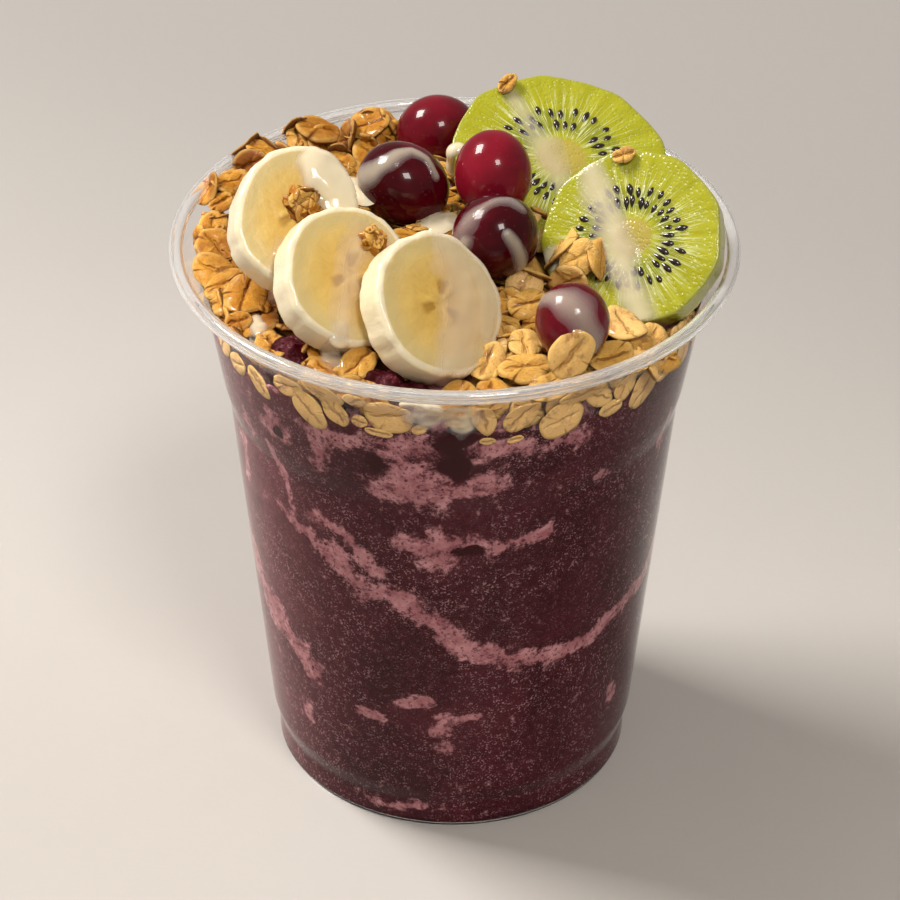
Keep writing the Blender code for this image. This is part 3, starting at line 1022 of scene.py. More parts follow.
# Flakes that show through the front of the wall: degrees round, height, length, width, spin.
WALL_FLAKES = (
    (-14.5, 96.2, 9.2, 8.2, 10),
    (-34.5, 92.9, 9.0, 6.0, -42),
    (-27.5, 94.4, 6.6, 4.4, -50),
    (-30.0, 98.2, 8.2, 6.0, -20),
    (-40.5, 96.2, 7.2, 5.0, 15),
    (-50.5, 93.0, 7.0, 4.4, -35),
    (-59.0, 93.4, 6.0, 4.4, 20),
    (-66.0, 95.0, 7.0, 5.6, 70),
    (6.7, 96.4, 7.6, 4.4, 100),
    (15.2, 96.4, 8.8, 5.2, 52),
    (24.8, 93.6, 9.0, 7.8, 15),
    (38.0, 92.6, 5.4, 3.6, 5),
    (48.5, 93.4, 9.4, 6.4, 48),
    (29.0, 98.8, 9.6, 5.2, 8),
    (42.0, 96.4, 7.0, 5.4, 70),
    (34.5, 96.0, 6.2, 4.4, -30),
    (57.5, 94.6, 7.0, 5.0, 30),
    (66.0, 94.2, 7.4, 5.4, 80),
    (7.6, 91.6, 3.0, 1.7, 0),
    (14.0, 91.4, 3.0, 1.7, 10),
    (-17.0, 92.2, 5.2, 2.0, -4),
    (-7.6, 94.0, 3.0, 2.2, 20),
    (1.0, 95.4, 5.0, 1.6, 0),
    (-22.0, 98.6, 4.8, 4.2, 40),
    (-21.5, 93.8, 3.2, 2.6, 0),
)
WALL_FLAKES_END = 75.0
# Places on the heap where the frozen blend or the milk shows instead: x, y and radius in mm.
CLEARINGS = (
    (-26.5, -27.0, 6.0),
    (-12.0, -35.0, 5.0),
    (-6.0, -38.5, 5.5),
    (-33.0, -19.5, 2.5),
    (0.5, -37.5, 3.5),
)
TO_VIEWER = Vector((0.0, -0.6, 0.8))  # the side of the heap that the light and the eye fall on
FRUIT = [node for node in sorted(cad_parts) if node.split("_")[0] in ("banana", "kiwi", "grape")]


class Pile:
    """A grid of heights over the cup, with the underside of the fruit above each of its cells."""

    def __init__(self):
        self.count = int(2 * PILE_REACH / CELL) + 1
        self.middle = self.count // 2
        fruit = node_tree(*FRUIT)
        shape = (self.count, self.count)
        self.outline = np.full(shape, -1.0)
        self.ceiling = np.full(shape, 1.0)
        for i in range(self.count):
            for j in range(self.count):
                x, y = (i - self.middle) * CELL, (j - self.middle) * CELL
                hit = heap_tree.ray_cast(Vector((x, y, SKY)), DOWN)[0]
                if hit is None:
                    continue
                self.outline[i, j] = hit.z
                above = fruit.ray_cast(hit + DOWN * 0.1 * MM, -DOWN)[0]
                if above is not None:
                    self.ceiling[i, j] = above.z
        self.height = self.outline - CORE_DEPTH

    def cells(self, points):
        """The grid cells under some points, as two index arrays."""
        at = np.rint(points[:, :2] / CELL).astype(int) + self.middle
        return tuple(np.clip(at, 0, self.count - 1).T)

    def slope(self, x, y, reach):
        """The tilt of the pile round a place, as an upward normal."""
        span = int(reach / CELL)
        i, j = int(round(x / CELL)) + self.middle, int(round(y / CELL)) + self.middle
        near = self.height[max(i - span, 0):i + span + 1, max(j - span, 0):j + span + 1]
        known = near > 0.0
        if known.sum() < 12:
            return np.array([0.0, 0.0, 1.0])
        u, v = np.nonzero(known)
        rows = np.stack([u * CELL, v * CELL, np.ones(len(u))], 1)
        along_x, along_y = np.linalg.lstsq(rows, near[known], rcond=None)[0][:2]
        normal = np.array([-along_x, -along_y, 1.0])
        steep = math.hypot(along_x, along_y)
        normal[:2] *= min(1.0, STEEPEST / max(steep, 0.001))
        return normal / np.linalg.norm(normal)


class Flake:
    """A rolled oat: an oval disc, bent, whose petals overlap a little at the clefts between them."""

    def __init__(self, rng, length, width, thickness, columns=30, rows=4, bend=1.0):
        self.half = (length / 2.0, width / 2.0)
        petals = rng.choice((2, 3, 3, 4, 5))
        first = rng.uniform(0.2, 0.9)
        clefts = [first + 2.0 * math.pi * (k + rng.uniform(-0.18, 0.18)) / petals for k in range(petals)]
        clefts.append(clefts[0] + 2.0 * math.pi)
        angles, shares, lifts, near = [], [], [], []
        for start, end in zip(clefts, clefts[1:]):
            count = columns // petals
            lift, curl = rng.uniform(0.08, 0.26) * MM, rng.uniform(-0.05, 0.2) * MM
            for i in range(count):
                share = (i + 0.04) / (count - 0.92)
                angles.append(start + (end - start) * share)
                shares.append(share)
                lifts.append((lift * (share - 0.5), curl * math.sin(math.pi * share)))
                near.append(1.0 if i in (0, count - 1) else 0.0)
        angles, shares, lifts = np.array(angles), np.array(shares), np.array(lifts)
        self.columns = len(angles)
        phases = [rng.uniform(0.0, 6.3) for _ in range(4)]
        edge = 0.95 + 0.055 * np.sin(math.pi * shares) ** 0.5 + 0.045 * np.sin(2 * angles + phases[0])
        edge += 0.03 * np.sin(5 * angles + phases[1])
        bow = (rng.uniform(-0.05, 0.09) * bend / MM, rng.uniform(-0.12, 0.06) * bend / MM)
        twist = rng.uniform(-0.05, 0.05) * bend / MM
        self.layers, self.cleft = [], []
        for out in [(i + 1) / rows for i in range(rows)]:
            x = self.half[0] * out * edge * np.cos(angles)
            y = self.half[1] * out * edge * np.sin(angles)
            middle = bow[0] * x**2 / 2 + bow[1] * y**2 / 2 + twist * x * y
            middle = middle + out * lifts[:, 0] + out**4 * lifts[:, 1] * bend
            middle = middle + 0.05 * MM * out * np.sin(7 * angles + phases[2])
            thick = thickness * (1.0 - 0.5 * out**2) * (1.0 + 0.14 * np.sin(4 * angles + phases[3]))
            thick = thick * (0.5 if out == 1.0 else 1.0)
            groove = 0.34 * thickness * np.exp(-((y / (0.5 * MM)) ** 2)) * (1.0 - out**4)
            self.layers.append((x, y, middle + thick / 2.0 - groove, middle - thick / 2.0 + 0.4 * groove))
            self.cleft.append(np.array(near) * min(max(0.0, (out - 0.3) / 0.4), 1.0))
        self.top_middle = thickness * 0.15
        self.low_middle = -thickness * 0.35

    def mesh(self):
        """The flake's points and faces in its own coordinates."""
        lower = [np.stack([x, y, low], 1) for x, y, _, low in self.layers]
        upper = [np.stack([x, y, high], 1) for x, y, high, _ in self.layers]
        rings = lower + upper[::-1]
        return ring_stack(
            [[tuple(p) for p in ring] for ring in rings],
            (0.0, 0.0, self.low_middle),
            (0.0, 0.0, self.top_middle),
        )

    def clefts(self):
        """How near each of the mesh's points is to a cleft."""
        return np.concatenate(self.cleft + self.cleft[::-1] + [[0.0, 0.0]])

    def under(self):
        """1 for the mesh's points on the flake's lower face, and 0 on its upper face."""
        half = len(self.layers) * self.columns
        return np.array([1.0] * half + [0.0] * half + [1.0, 0.0])


def turned(normal, spin):
    """A turn that lays a flake on a surface with that normal, after spinning it."""
    tilt = Vector((0.0, 0.0, 1.0)).rotation_difference(Vector(normal))
    return tilt.to_matrix() @ Matrix.Rotation(spin, 3, "Z")


def footprint(points):
    """More points between a flake's own, so that it covers every cell below it."""
    middle = points.mean(0)
    shares = np.linspace(0.1, 1.0, 10)[:, None, None]
    return (middle + (points - middle) * shares).reshape(-1, 3)


def lay_flake(pile, flakes, shape, x, y, normal, rng):
    """Drops a flake on the pile. It stays out of the fruit and the wall, or isn't laid."""
    turn = turned(normal, rng.uniform(0.0, 6.3))
    points, faces = shape.mesh()
    local = np.array(points) @ np.array(turn).T
    spread = footprint(local)
    at = pile.cells(spread + np.array([x, y, 0.0]))
    ground = pile.height[at]
    known = ground > 0.0
    if known.sum() < 0.75 * len(known):
        return False
    z = float((ground[known] - spread[known, 2]).max()) - FLAKE_SINK
    placed = local + np.array([x, y, z])
    radius = np.hypot(placed[:, 0], placed[:, 1])
    room = np.array([inner_radius(h) for h in placed[:, 2]]) - 0.1 * MM
    over = float((radius - room).max())
    if over > 0.0:
        if over > 3.0 * MM:
            return False
        away = math.hypot(x, y)
        x, y = x * (1.0 - over / away), y * (1.0 - over / away)
        placed = local + np.array([x, y, z])
        at = pile.cells(spread + np.array([x, y, 0.0]))
    if (spread[:, 2] + z > pile.ceiling[at] + 0.15 * MM).any():
        return False
    outline = pile.outline[at]
    if (spread[:, 2] + z > np.where(outline > 0.0, outline, 1.0) + ABOVE_OUTLINE).any():
        return False
    np.maximum.at(pile.height, at, spread[:, 2] + z)
    place = Matrix.Translation((x, y, z)) @ turn.to_4x4()
    # Painted shade: the deeper a flake lies below the heap's outline, the darker its tone.
    deep = (float(np.median(outline[outline > 0.0])) - float(spread[:, 2].max()) - z) / MM
    add_flake(flakes, points, faces, place, shape, rng, -0.2 * min(max(deep, 0.0), 4.0))
    return True


def add_flake(flakes, points, faces, place, shape, rng, painted_light=0.0, laid=None):
    """Joins a flake to the others, with what its shader needs. A bent flake brings its laid points."""
    local = np.array(points)
    # Painted light: flakes towards the right of the cup get a paler tone.
    lit = 0.75 * soft_step(place.translation.x, -22.0 * MM, 20.0 * MM)
    flakes.add(
        laid or points,
        faces,
        place,
        flake_x=local[:, 0] / MM,
        flake_y=local[:, 1] / MM,
        flake_seed=rng.uniform(0.0, 100.0),
        flake_tone=painted_light + 0.65 * rng.random() + lit - 0.05,
        flake_out=np.hypot(local[:, 0] / shape.half[0], local[:, 1] / shape.half[1]),
        flake_cleft=shape.clefts(),
        flake_under=shape.under(),
    )


def random_flake(rng):
    """A flake of a usual size, and now and then a broken or a curled one."""
    length = rng.uniform(7.0, 9.2) * MM
    if rng.random() < 0.15:
        length = rng.uniform(3.4, 5.4) * MM
    width = length * rng.uniform(0.72, 0.9)
    bend = 1.8 if rng.random() < 0.2 else 0.8
    return Flake(rng, length, width, rng.uniform(1.0, 1.5) * MM, 26, bend=bend)


def random_place(rng, reach):
    """A place on the heap, as likely anywhere within its reach."""
    r = reach * math.sqrt(rng.random())
    a = rng.uniform(0.0, 2.0 * math.pi)
    return r * math.cos(a), r * math.sin(a)


def scatter_flakes(pile, flakes, rng):
    """Lays the heap's flakes, layer on layer, over the smaller core."""
    laid = tries = 0
    while laid < FLAKE_COUNT and tries < FLAKE_TRIES:
        tries += 1
        x, y = random_place(rng, FLAKE_REACH)
        i, j = pile.cells(np.array([[x, y, 0.0]]))
        level, outline = pile.height[i, j][0], pile.outline[i, j][0]
        if any(math.hypot(x - u * MM, y - v * MM) < reach * MM for u, v, reach in CLEARINGS):
            continue
        if outline < 0.0 or level > outline - 0.2 * MM:
            continue
        normal = pile.slope(x, y, 3.2 * MM) + np.array([rng.gauss(0.0, 0.3), rng.gauss(0.0, 0.3), 0.0])
        shape = random_flake(rng)
        laid += lay_flake(pile, flakes, shape, x, y, normal, rng)
    for _ in range(CHIP_COUNT):
        x, y = random_place(rng, CHIP_REACH)
        length = rng.uniform(1.8, 3.4) * MM
        shape = Flake(rng, length, length * rng.uniform(0.6, 0.9), 0.9 * MM, 18, 2)
        normal = pile.slope(x, y, 1.6 * MM) + np.array([rng.gauss(0.0, 0.4), rng.gauss(0.0, 0.4), 0.0])
        lay_flake(pile, flakes, shape, x, y, normal, rng)


def press_wall_flake(flakes, degrees, height, length, width, spin, rng):
    """A flake pressed flat against the inside of the wall, and bent to its curve."""
    shape = Flake(rng, 0.92 * length * MM, 0.92 * width * MM, 1.1 * MM, 40, 6, 0.3)
    points, faces = shape.mesh()
    spin = math.radians(spin)
    laid = []
    for x, y, z in points:
        across = x * math.cos(spin) - y * math.sin(spin)
        up = height * MM + x * math.sin(spin) + y * math.cos(spin)
        angle = math.radians(degrees) + across / inner_radius(up)
        r = inner_radius(up) + WALL_GRIP + (0.35 * z if z > 0.0 else z)
        laid.append((r * math.sin(angle), -r * math.cos(angle), up))
    # Painted light: the flakes against the wall get a much paler tone.
    add_flake(flakes, points, faces, Matrix(), shape, rng, 0.95, laid)


def stand_wall_flakes(flakes, rng):
    """The flakes that show through the wall, and more that stand behind them."""
    for flake in WALL_FLAKES:
        press_wall_flake(flakes, *flake, rng)
    degrees = WALL_FLAKES_END
    while degrees < 360.0 - WALL_FLAKES_END:
        length = rng.uniform(6.6, 9.0)
        width = length * rng.uniform(0.6, 0.9)
        height, spin = rng.uniform(93.0, 97.0), rng.uniform(0.0, 180.0)
        press_wall_flake(flakes, degrees, height, length, width, spin, rng)
        degrees += rng.uniform(9.0, 13.0)
    for k in range(STANDING_FLAKES):
        angle = 2.0 * math.pi * (k + rng.uniform(-0.22, 0.22)) / STANDING_FLAKES
        length = rng.uniform(6.4, 8.6) * MM
        shape = Flake(rng, length, length * rng.uniform(0.7, 0.9), 1.2 * MM, bend=0.7)
        z = rng.uniform(96.0, 98.4) * MM
        points, faces = shape.mesh()
        inward = Vector((-math.cos(angle), -math.sin(angle), rng.uniform(0.0, 0.3)))
        inward += Vector([rng.gauss(0.0, 0.16) for _ in range(3)])
        turn = turned((-inward).normalized(), rng.uniform(0, 6.3))
        local = np.array(points) @ np.array(turn).T
        r = inner_radius(z)
        for _ in range(12):
            placed = local + np.array([r * math.cos(angle), r * math.sin(angle), z])
            room = np.array([inner_radius(h) for h in placed[:, 2]]) - 0.3 * MM
            over = float((np.hypot(placed[:, 0], placed[:, 1]) - room).max())
            if abs(over) < 0.02 * MM:
                break
            r -= over
        place = Matrix.Translation((r * math.cos(angle), r * math.sin(angle), z)) @ turn.to_4x4()
        # Painted light: a slightly paler tone.
        add_flake(flakes, points, faces, place, shape, rng, 0.1)


def make_core(pile, material):
    """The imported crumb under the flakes, from the blend to just below the heap's outline."""
    columns, shares = 96, [0.99, 0.95, 0.9] + [0.84 - 0.07 * i for i in range(12)]
    rim = inner_radius(92.0 * MM) - 2.6 * MM

    def height(x, y):
        i, j = pile.cells(np.array([[x, y, 0.0]]))
        top = min(pile.outline[i, j][0], pile.ceiling[i, j][0] - 0.3 * MM) - 0.8 * CORE_DEPTH
        crumb = noise.noise(Vector((x, y, 0.05)) / (1.7 * MM)) * 0.7 * MM
        return max(top + crumb, 93.0 * MM)

    rings = [ring(0.4 * rim, CORE_LOW, columns), ring(rim, CORE_LOW, columns)]
    rings.append(ring(rim, 96.0 * MM, columns))
    for share in shares:
        rings.append([(x, y, height(x, y)) for x, y, _ in ring(rim * share, 0.0, columns)])
    points, faces = ring_stack(rings, (0.0, 0.0, CORE_LOW), (0.0, 0.0, height(0.0, 0.0)))
    ride(mesh_piece("granola_core", points, faces, material), "toasted_granola", "granola")


def granola_crumb_and_shade():
    """The crumb between the flakes, dark brown for its own colour and for painted shade in the gaps."""
    n = Nodes("granola_crumb_and_shade")
    where = n.local()
    lumps = n.cells(where, 420.0)
    # Painted shade: the crumb is made very dark so that the gaps between the flakes read as shadow.
    n.set(
        Base_Color=n.mix(n.noise(where, 300.0, 4.0), (0.05, 0.018, 0.008), (0.26, 0.105, 0.020)),
        Roughness=0.6,
        Normal=n.bump(lumps, 0.8 * MM, 0.8),
    )
    return n.material


def oat_flake():
    """Toasted oats: golden and paler at the edge, with painted shade in the crease, the clefts and below,
    and painted light and shade in their tone.
    """
    n = Nodes("oat_flake")
    x, y = n.attribute("flake_x"), n.attribute("flake_y")
    seed, tone = n.attribute("flake_seed"), n.attribute("flake_tone")
    out, cleft = n.attribute("flake_out"), n.attribute("flake_cleft")
    spot = n.filled("ShaderNodeCombineXYZ", {"X": x, "Y": y, "Z": seed}).outputs[0]
    wobble = n.math("MULTIPLY_ADD", n.noise(spot, 0.5, 2.0), 1.6, -0.8)
    crease = n.smooth(n.math("ABSOLUTE", n.math("ADD", y, wobble)), 0.36, 0.04)
    crease = n.times(crease, n.smooth(out, 0.95, 0.6))
    cloud = n.noise(spot, 0.42, 4.0, 0.6)
    fine = n.noise(n.scaled(spot, (1.0, 2.2, 1.0)), 2.4, 4.0, 0.65)
    gold = n.mix(n.smooth(cloud, 0.3, 0.7), (0.48, 0.175, 0.010), (0.70, 0.34, 0.036))
    # The tone mixes random toasting with painted light and shade by place.
    gold = n.mix(n.smooth(tone, 0.35, 1.0, 0.0, 0.8), gold, (0.86, 0.52, 0.13))
    gold = n.mix(n.smooth(tone, 0.9, 1.35, 0.0, 0.9), gold, (1.0, 0.64, 0.26))
    gold = n.mix(n.smooth(tone, 0.35, -0.1, 0.0, 0.85), gold, (0.26, 0.075, 0.008))
    specks = n.times(n.smooth(fine, 0.48, 0.72), n.smooth(tone, 0.8, 1.3, 0.65, 0.3))
    gold = n.mix(specks, gold, (0.30, 0.085, 0.006))
    gold = n.mix(n.smooth(out, 0.70, 1.0, 0.0, 0.4), gold, (0.90, 0.60, 0.19))
    syrup = n.smooth(n.noise(spot, 0.34, 3.0, 0.6), 0.54, 0.68)
    gold = n.mix(n.times(syrup, 0.5), gold, (0.28, 0.065, 0.006))
    creased = n.smooth(n.noise(n.scaled(spot, (0.0, 0.0, 3.7)), 1.0), 0.46, 0.50)
    # Painted shade in the crease and in the clefts between the petals.
    crease_and_cleft_shade = n.math("MAXIMUM", n.times(crease, creased), n.smooth(cleft, 0.55, 0.98))
    crease_and_cleft_shade = n.times(crease_and_cleft_shade, n.smooth(tone, 0.7, 1.2, 0.8, 0.45))
    color = n.mix(crease_and_cleft_shade, gold, (0.22, 0.055, 0.006))
    # Painted shade on the flake's underside and on the lower half of its edge.
    color = n.mix(n.times(n.attribute("flake_under"), 0.85), color, (0.13, 0.036, 0.005))
    height = n.math("SUBTRACT", n.times(fine, 0.6), n.times(crease, 0.8))
    n.set(
        Base_Color=color,
        Roughness=n.smooth(syrup, 0.0, 1.0, 0.55, 0.22),
        Specular_IOR_Level=0.18,
        Normal=n.bump(height, 0.45 * MM, 0.9),
        Coat_Weight=n.smooth(syrup, 0.0, 1.0, 0.06, 1.0),
        Coat_Roughness=0.09,
        Subsurface_Weight=0.08,
        Subsurface_Radius=(1.0, 0.5, 0.15),
        Subsurface_Scale=0.8 * MM,
    )
    return n.material


# Knobs of frozen blend: their middles and sizes in mm.
LUMPS = (
    (-27.5, -25.5, 95.8, 4.6),
    (-22.0, -30.0, 95.5, 3.6),
    (-12.0, -34.5, 95.4, 4.6),
    (-7.0, -36.5, 94.6, 4.0),
    (0.0, -37.0, 93.5, 3.6),
)
# Knobs of flakes that stand out: where they lie, how many flakes and their length in mm.
CLUSTERS = (
    (("banana_1", 0.01, 0.15), 6, 5.0),
    (("banana_2", 0.12, 0.60), 6, 4.2),
    (("kiwi_2", -0.60, -0.12), 4, 7.6),
    (("heap", 25.5, -14.1), 4, 7.6),
    (("heap", 28.5, -21.5), 3, 7.8),
    (("heap", 33.0, -22.5), 3, 7.0),
    (("heap", 11.8, -14.5), 3, 7.6),
    (("heap", 8.1, -21.5), 3, 6.4),
    (("heap", 6.7, -27.5), 3, 6.2),
    (("heap", -15.3, 36.0), 7, 7.2),
    (("heap", -34.0, 26.5), 5, 6.8),
    (("heap", -39.5, 18.0), 5, 6.2),
    (("heap", -42.0, 9.0), 4, 6.6),
    (("heap", -28.0, 33.0), 4, 6.6),
    (("heap", -2.5, 25.5), 4, 5.6),
    (("heap", 13.0, 8.0), 3, 5.0),
    (("heap", -22.4, -27.6), 4, 5.6),
    (("heap", -20.5, 29.0), 5, 6.4),
    (("heap", 29.5, -29.5), 3, 6.6),
    (("heap", 20.5, -24.5), 3, 6.4),
)
# Single flakes, face up: where, length and width in mm, and spin.
FACE_FLAKES = (
    (("grape_5", -0.06, -1.06), 8.8, 7.2, 0.9),
    (("heap", 12.3, -17.7), 7.0, 5.8, 0.3),
    (("heap", 11.7, -27.6), 6.6, 5.4, 1.7),
    (("heap", 11.7, -33.0), 8.6, 6.6, 0.1),
    (("heap", 5.5, -31.0), 7.4, 6.0, 1.2),
    (("heap", -24.5, 34.4), 8.6, 7.0, 0.2),
    (("heap", -41.0, 3.0), 8.8, 7.2, 2.2),
    (("heap", -41.1, -4.5), 9.0, 7.4, 2.5),
    (("heap", -38.8, -8.5), 8.4, 6.4, 0.4),
    (("heap", -35.5, -12.2), 8.8, 7.8, 1.3),
    (("heap", -36.3, -18.5), 5.0, 4.0, 0.4),
    (("heap", -15.9, -32.0), 8.0, 5.4, 0.9),
    (("heap", 25.8, -30.6), 8.4, 6.4, 0.5),
    (("kiwi_1", -0.54, 0.69), 4.6, 2.8, 0.9),
    (("kiwi_2", 0.12, 0.90), 4.2, 2.8, 0.2),
)


class Ground:
    """What later pieces rest on: the fruit's solids with the flakes laid so far."""

    def __init__(self, nodes, *gathers):
        points, faces = joined_solids(nodes)
        for gather in gathers:
            start = len(points)
            points += [Vector(p) for p in gather.points]
            faces += [[start + i for i in face] for face in gather.faces]
        self.tree = BVHTree.FromPolygons(points, faces)

    def spot(self, station):
        """The place and normal of a station, which is given as in the runs of milk."""
        node, across, along = station[:3]
        if node in ("heap", "top"):
            start, way = Vector((across * MM, along * MM, SKY)), DOWN
            if node == "heap":
                hit, normal, _, _ = heap_tree.ray_cast(start, way)
                return hit, normal
        elif node == "wall":
            angle, z = math.radians(across), along * MM
            out = Vector((math.sin(angle), -math.cos(angle), 0.0))
            return out * (inner_radius(z) - 0.6 * MM) + Vector((0.0, 0.0, z)), -out
        elif node.startswith("grape"):
            points = node_points(node)
            middle = Vector(points.mean(0))
            radius = float(np.linalg.norm(points - points.mean(0), axis=1).max())
            rest = 1.0 - across**2 - along**2
            way = Vector((across, along, math.copysign(math.sqrt(abs(rest)), rest))).normalized()
            start, way = middle + way * radius * 1.2, -way
        else:
            lie = Lie(node)
            radius = max(v.length for v in lie.outline)
            start = lie.to_world(across * radius, along * radius, lie.half_thickness + 8.0 * MM)
            way = -Vector(lie.axes[2])
        hit, normal, _, _ = self.tree.ray_cast(start, way)
        if hit is None:
            hit, normal, _, _ = self.tree.find_nearest(start)
        return hit, normal if normal.dot(way) < 0.0 else -normal

    def near(self, point):
        """The nearest place on the ground, its outward normal and how far it is."""
        hit, normal, _, away = self.tree.find_nearest(point)
        return hit, normal, away


def lay_cluster(flakes, ground, station, count, length, rng):
    """Flakes baked together: one on top, and the others leaning round it."""
    spot, normal = ground.spot(station)
    normal = (normal + TO_VIEWER * 0.8).normalized()
    if station[0] == "heap":
        spot = spot - normal * 0.35 * length * MM
    side = normal.orthogonal()
    start = rng.uniform(0.0, 6.3)
    for k in range(count):
        long = length * rng.uniform(0.9, 1.12) * MM
        if k == 0:
            way, centre = normal, spot + normal * 0.30 * long
        else:
            round_it = start + 2.0 * math.pi * k / (count - 1) + rng.uniform(-0.3, 0.3)
            out = Matrix.Rotation(round_it, 3, normal) @ side
            lean = rng.uniform(0.7, 1.15)
            way = normal * math.cos(lean) + out * math.sin(lean)
            centre = spot + out * 0.36 * long + normal * rng.uniform(0.02, 0.14) * long
        shape = Flake(rng, long, long * rng.uniform(0.7, 0.88), rng.uniform(1.2, 1.6) * MM, bend=1.6)
        points, faces = shape.mesh()
        place = Matrix.Translation(centre) @ turned(way, rng.uniform(0.0, 6.3)).to_4x4()
        # Painted light on the top flake, and painted shade on the flakes that lean round it.
        add_flake(flakes, points, faces, place, shape, rng, 0.25 if k == 0 else -0.1)


def lay_face_flake(flakes, ground, station, length, width, spin, rng):
    """One flake that rests on what lies below it."""
    spot, normal = ground.spot(station)
    normal = (normal + TO_VIEWER * 0.8).normalized()
    shape = Flake(rng, length * MM, width * MM, 1.5 * MM, 42, 8)
    points, faces = shape.mesh()
    place = Matrix.Translation(spot + normal * (0.3 if station[0] == "heap" else 0.9) * MM)
    add_flake(flakes, points, faces, place @ turned(normal, spin).to_4x4(), shape, rng)


def make_lumps(material, rng):
    """Knobs of the frozen blend that stand up between the flakes."""
    lumps = Gather()
    for x, y, z, size in LUMPS:
        rings = []
        start = Vector((rng.uniform(0.0, 50.0), 0.0, 0.0))
        for i in range(1, 26):
            tilt = math.pi * i / 26
            row = []
            for point in ring(math.sin(tilt), -math.cos(tilt), 44):
                way = Vector(point)
                rough = 1.0 + 0.22 * noise.noise(way * 1.6 + start)
                rough += 0.10 * noise.noise(way * 4.0 + start)
                rough += 0.09 * abs(noise.noise(way * 9.0 + start))
                row.append(tuple(way * size * rough * MM))
            rings.append(row)
        points, faces = ring_stack(rings, (0.0, 0.0, -size * MM), (0.0, 0.0, size * MM))
        place = Matrix.Translation(Vector((x, y, z)) * MM)
        lumps.add(points, faces, place, pale=0.0, dark=0.50, behind=0.0)
    lumps.piece("acai_lumps", material, "acai_blend")


def make_granola(rng):
    """All the oats and the core below them. Returns what the milk is laid on."""
    pile = Pile()
    flakes = Gather()
    scatter_flakes(pile, flakes, rng)
    ground = Ground(FRUIT, flakes)
    top = Gather()
    for station, count, length in CLUSTERS:
        lay_cluster(top, ground, station, count, length, rng)
    for station, length, width, spin in FACE_FLAKES:
        lay_face_flake(top, ground, station, length, width, spin, rng)
    oats = oat_flake()
    flakes.piece("granola_flakes", oats, "toasted_granola")
    at_wall = Gather()
    stand_wall_flakes(at_wall, rng)
    at_wall.piece("granola_wall_flakes", oats, "toasted_granola")
    top.piece("granola_clusters", oats, "toasted_granola")
    make_core(pile, granola_crumb_and_shade())
    return Ground(FRUIT + ["granola"])


# ---------------------------------------------------------------- condensed milk

MILK_STEP = 0.55 * MM
MILK_VOXEL = 0.32 * MM
FILM_STEP = 0.3 * MM
FILM_WIDTH = 1.25  # a film spreads this much wider than its run


def run(depth, node, *stations):
    """A run over one thing: its depth in mm, then the place and the width in mm at each station."""
    return (depth, *((node, *station) for station in stations))


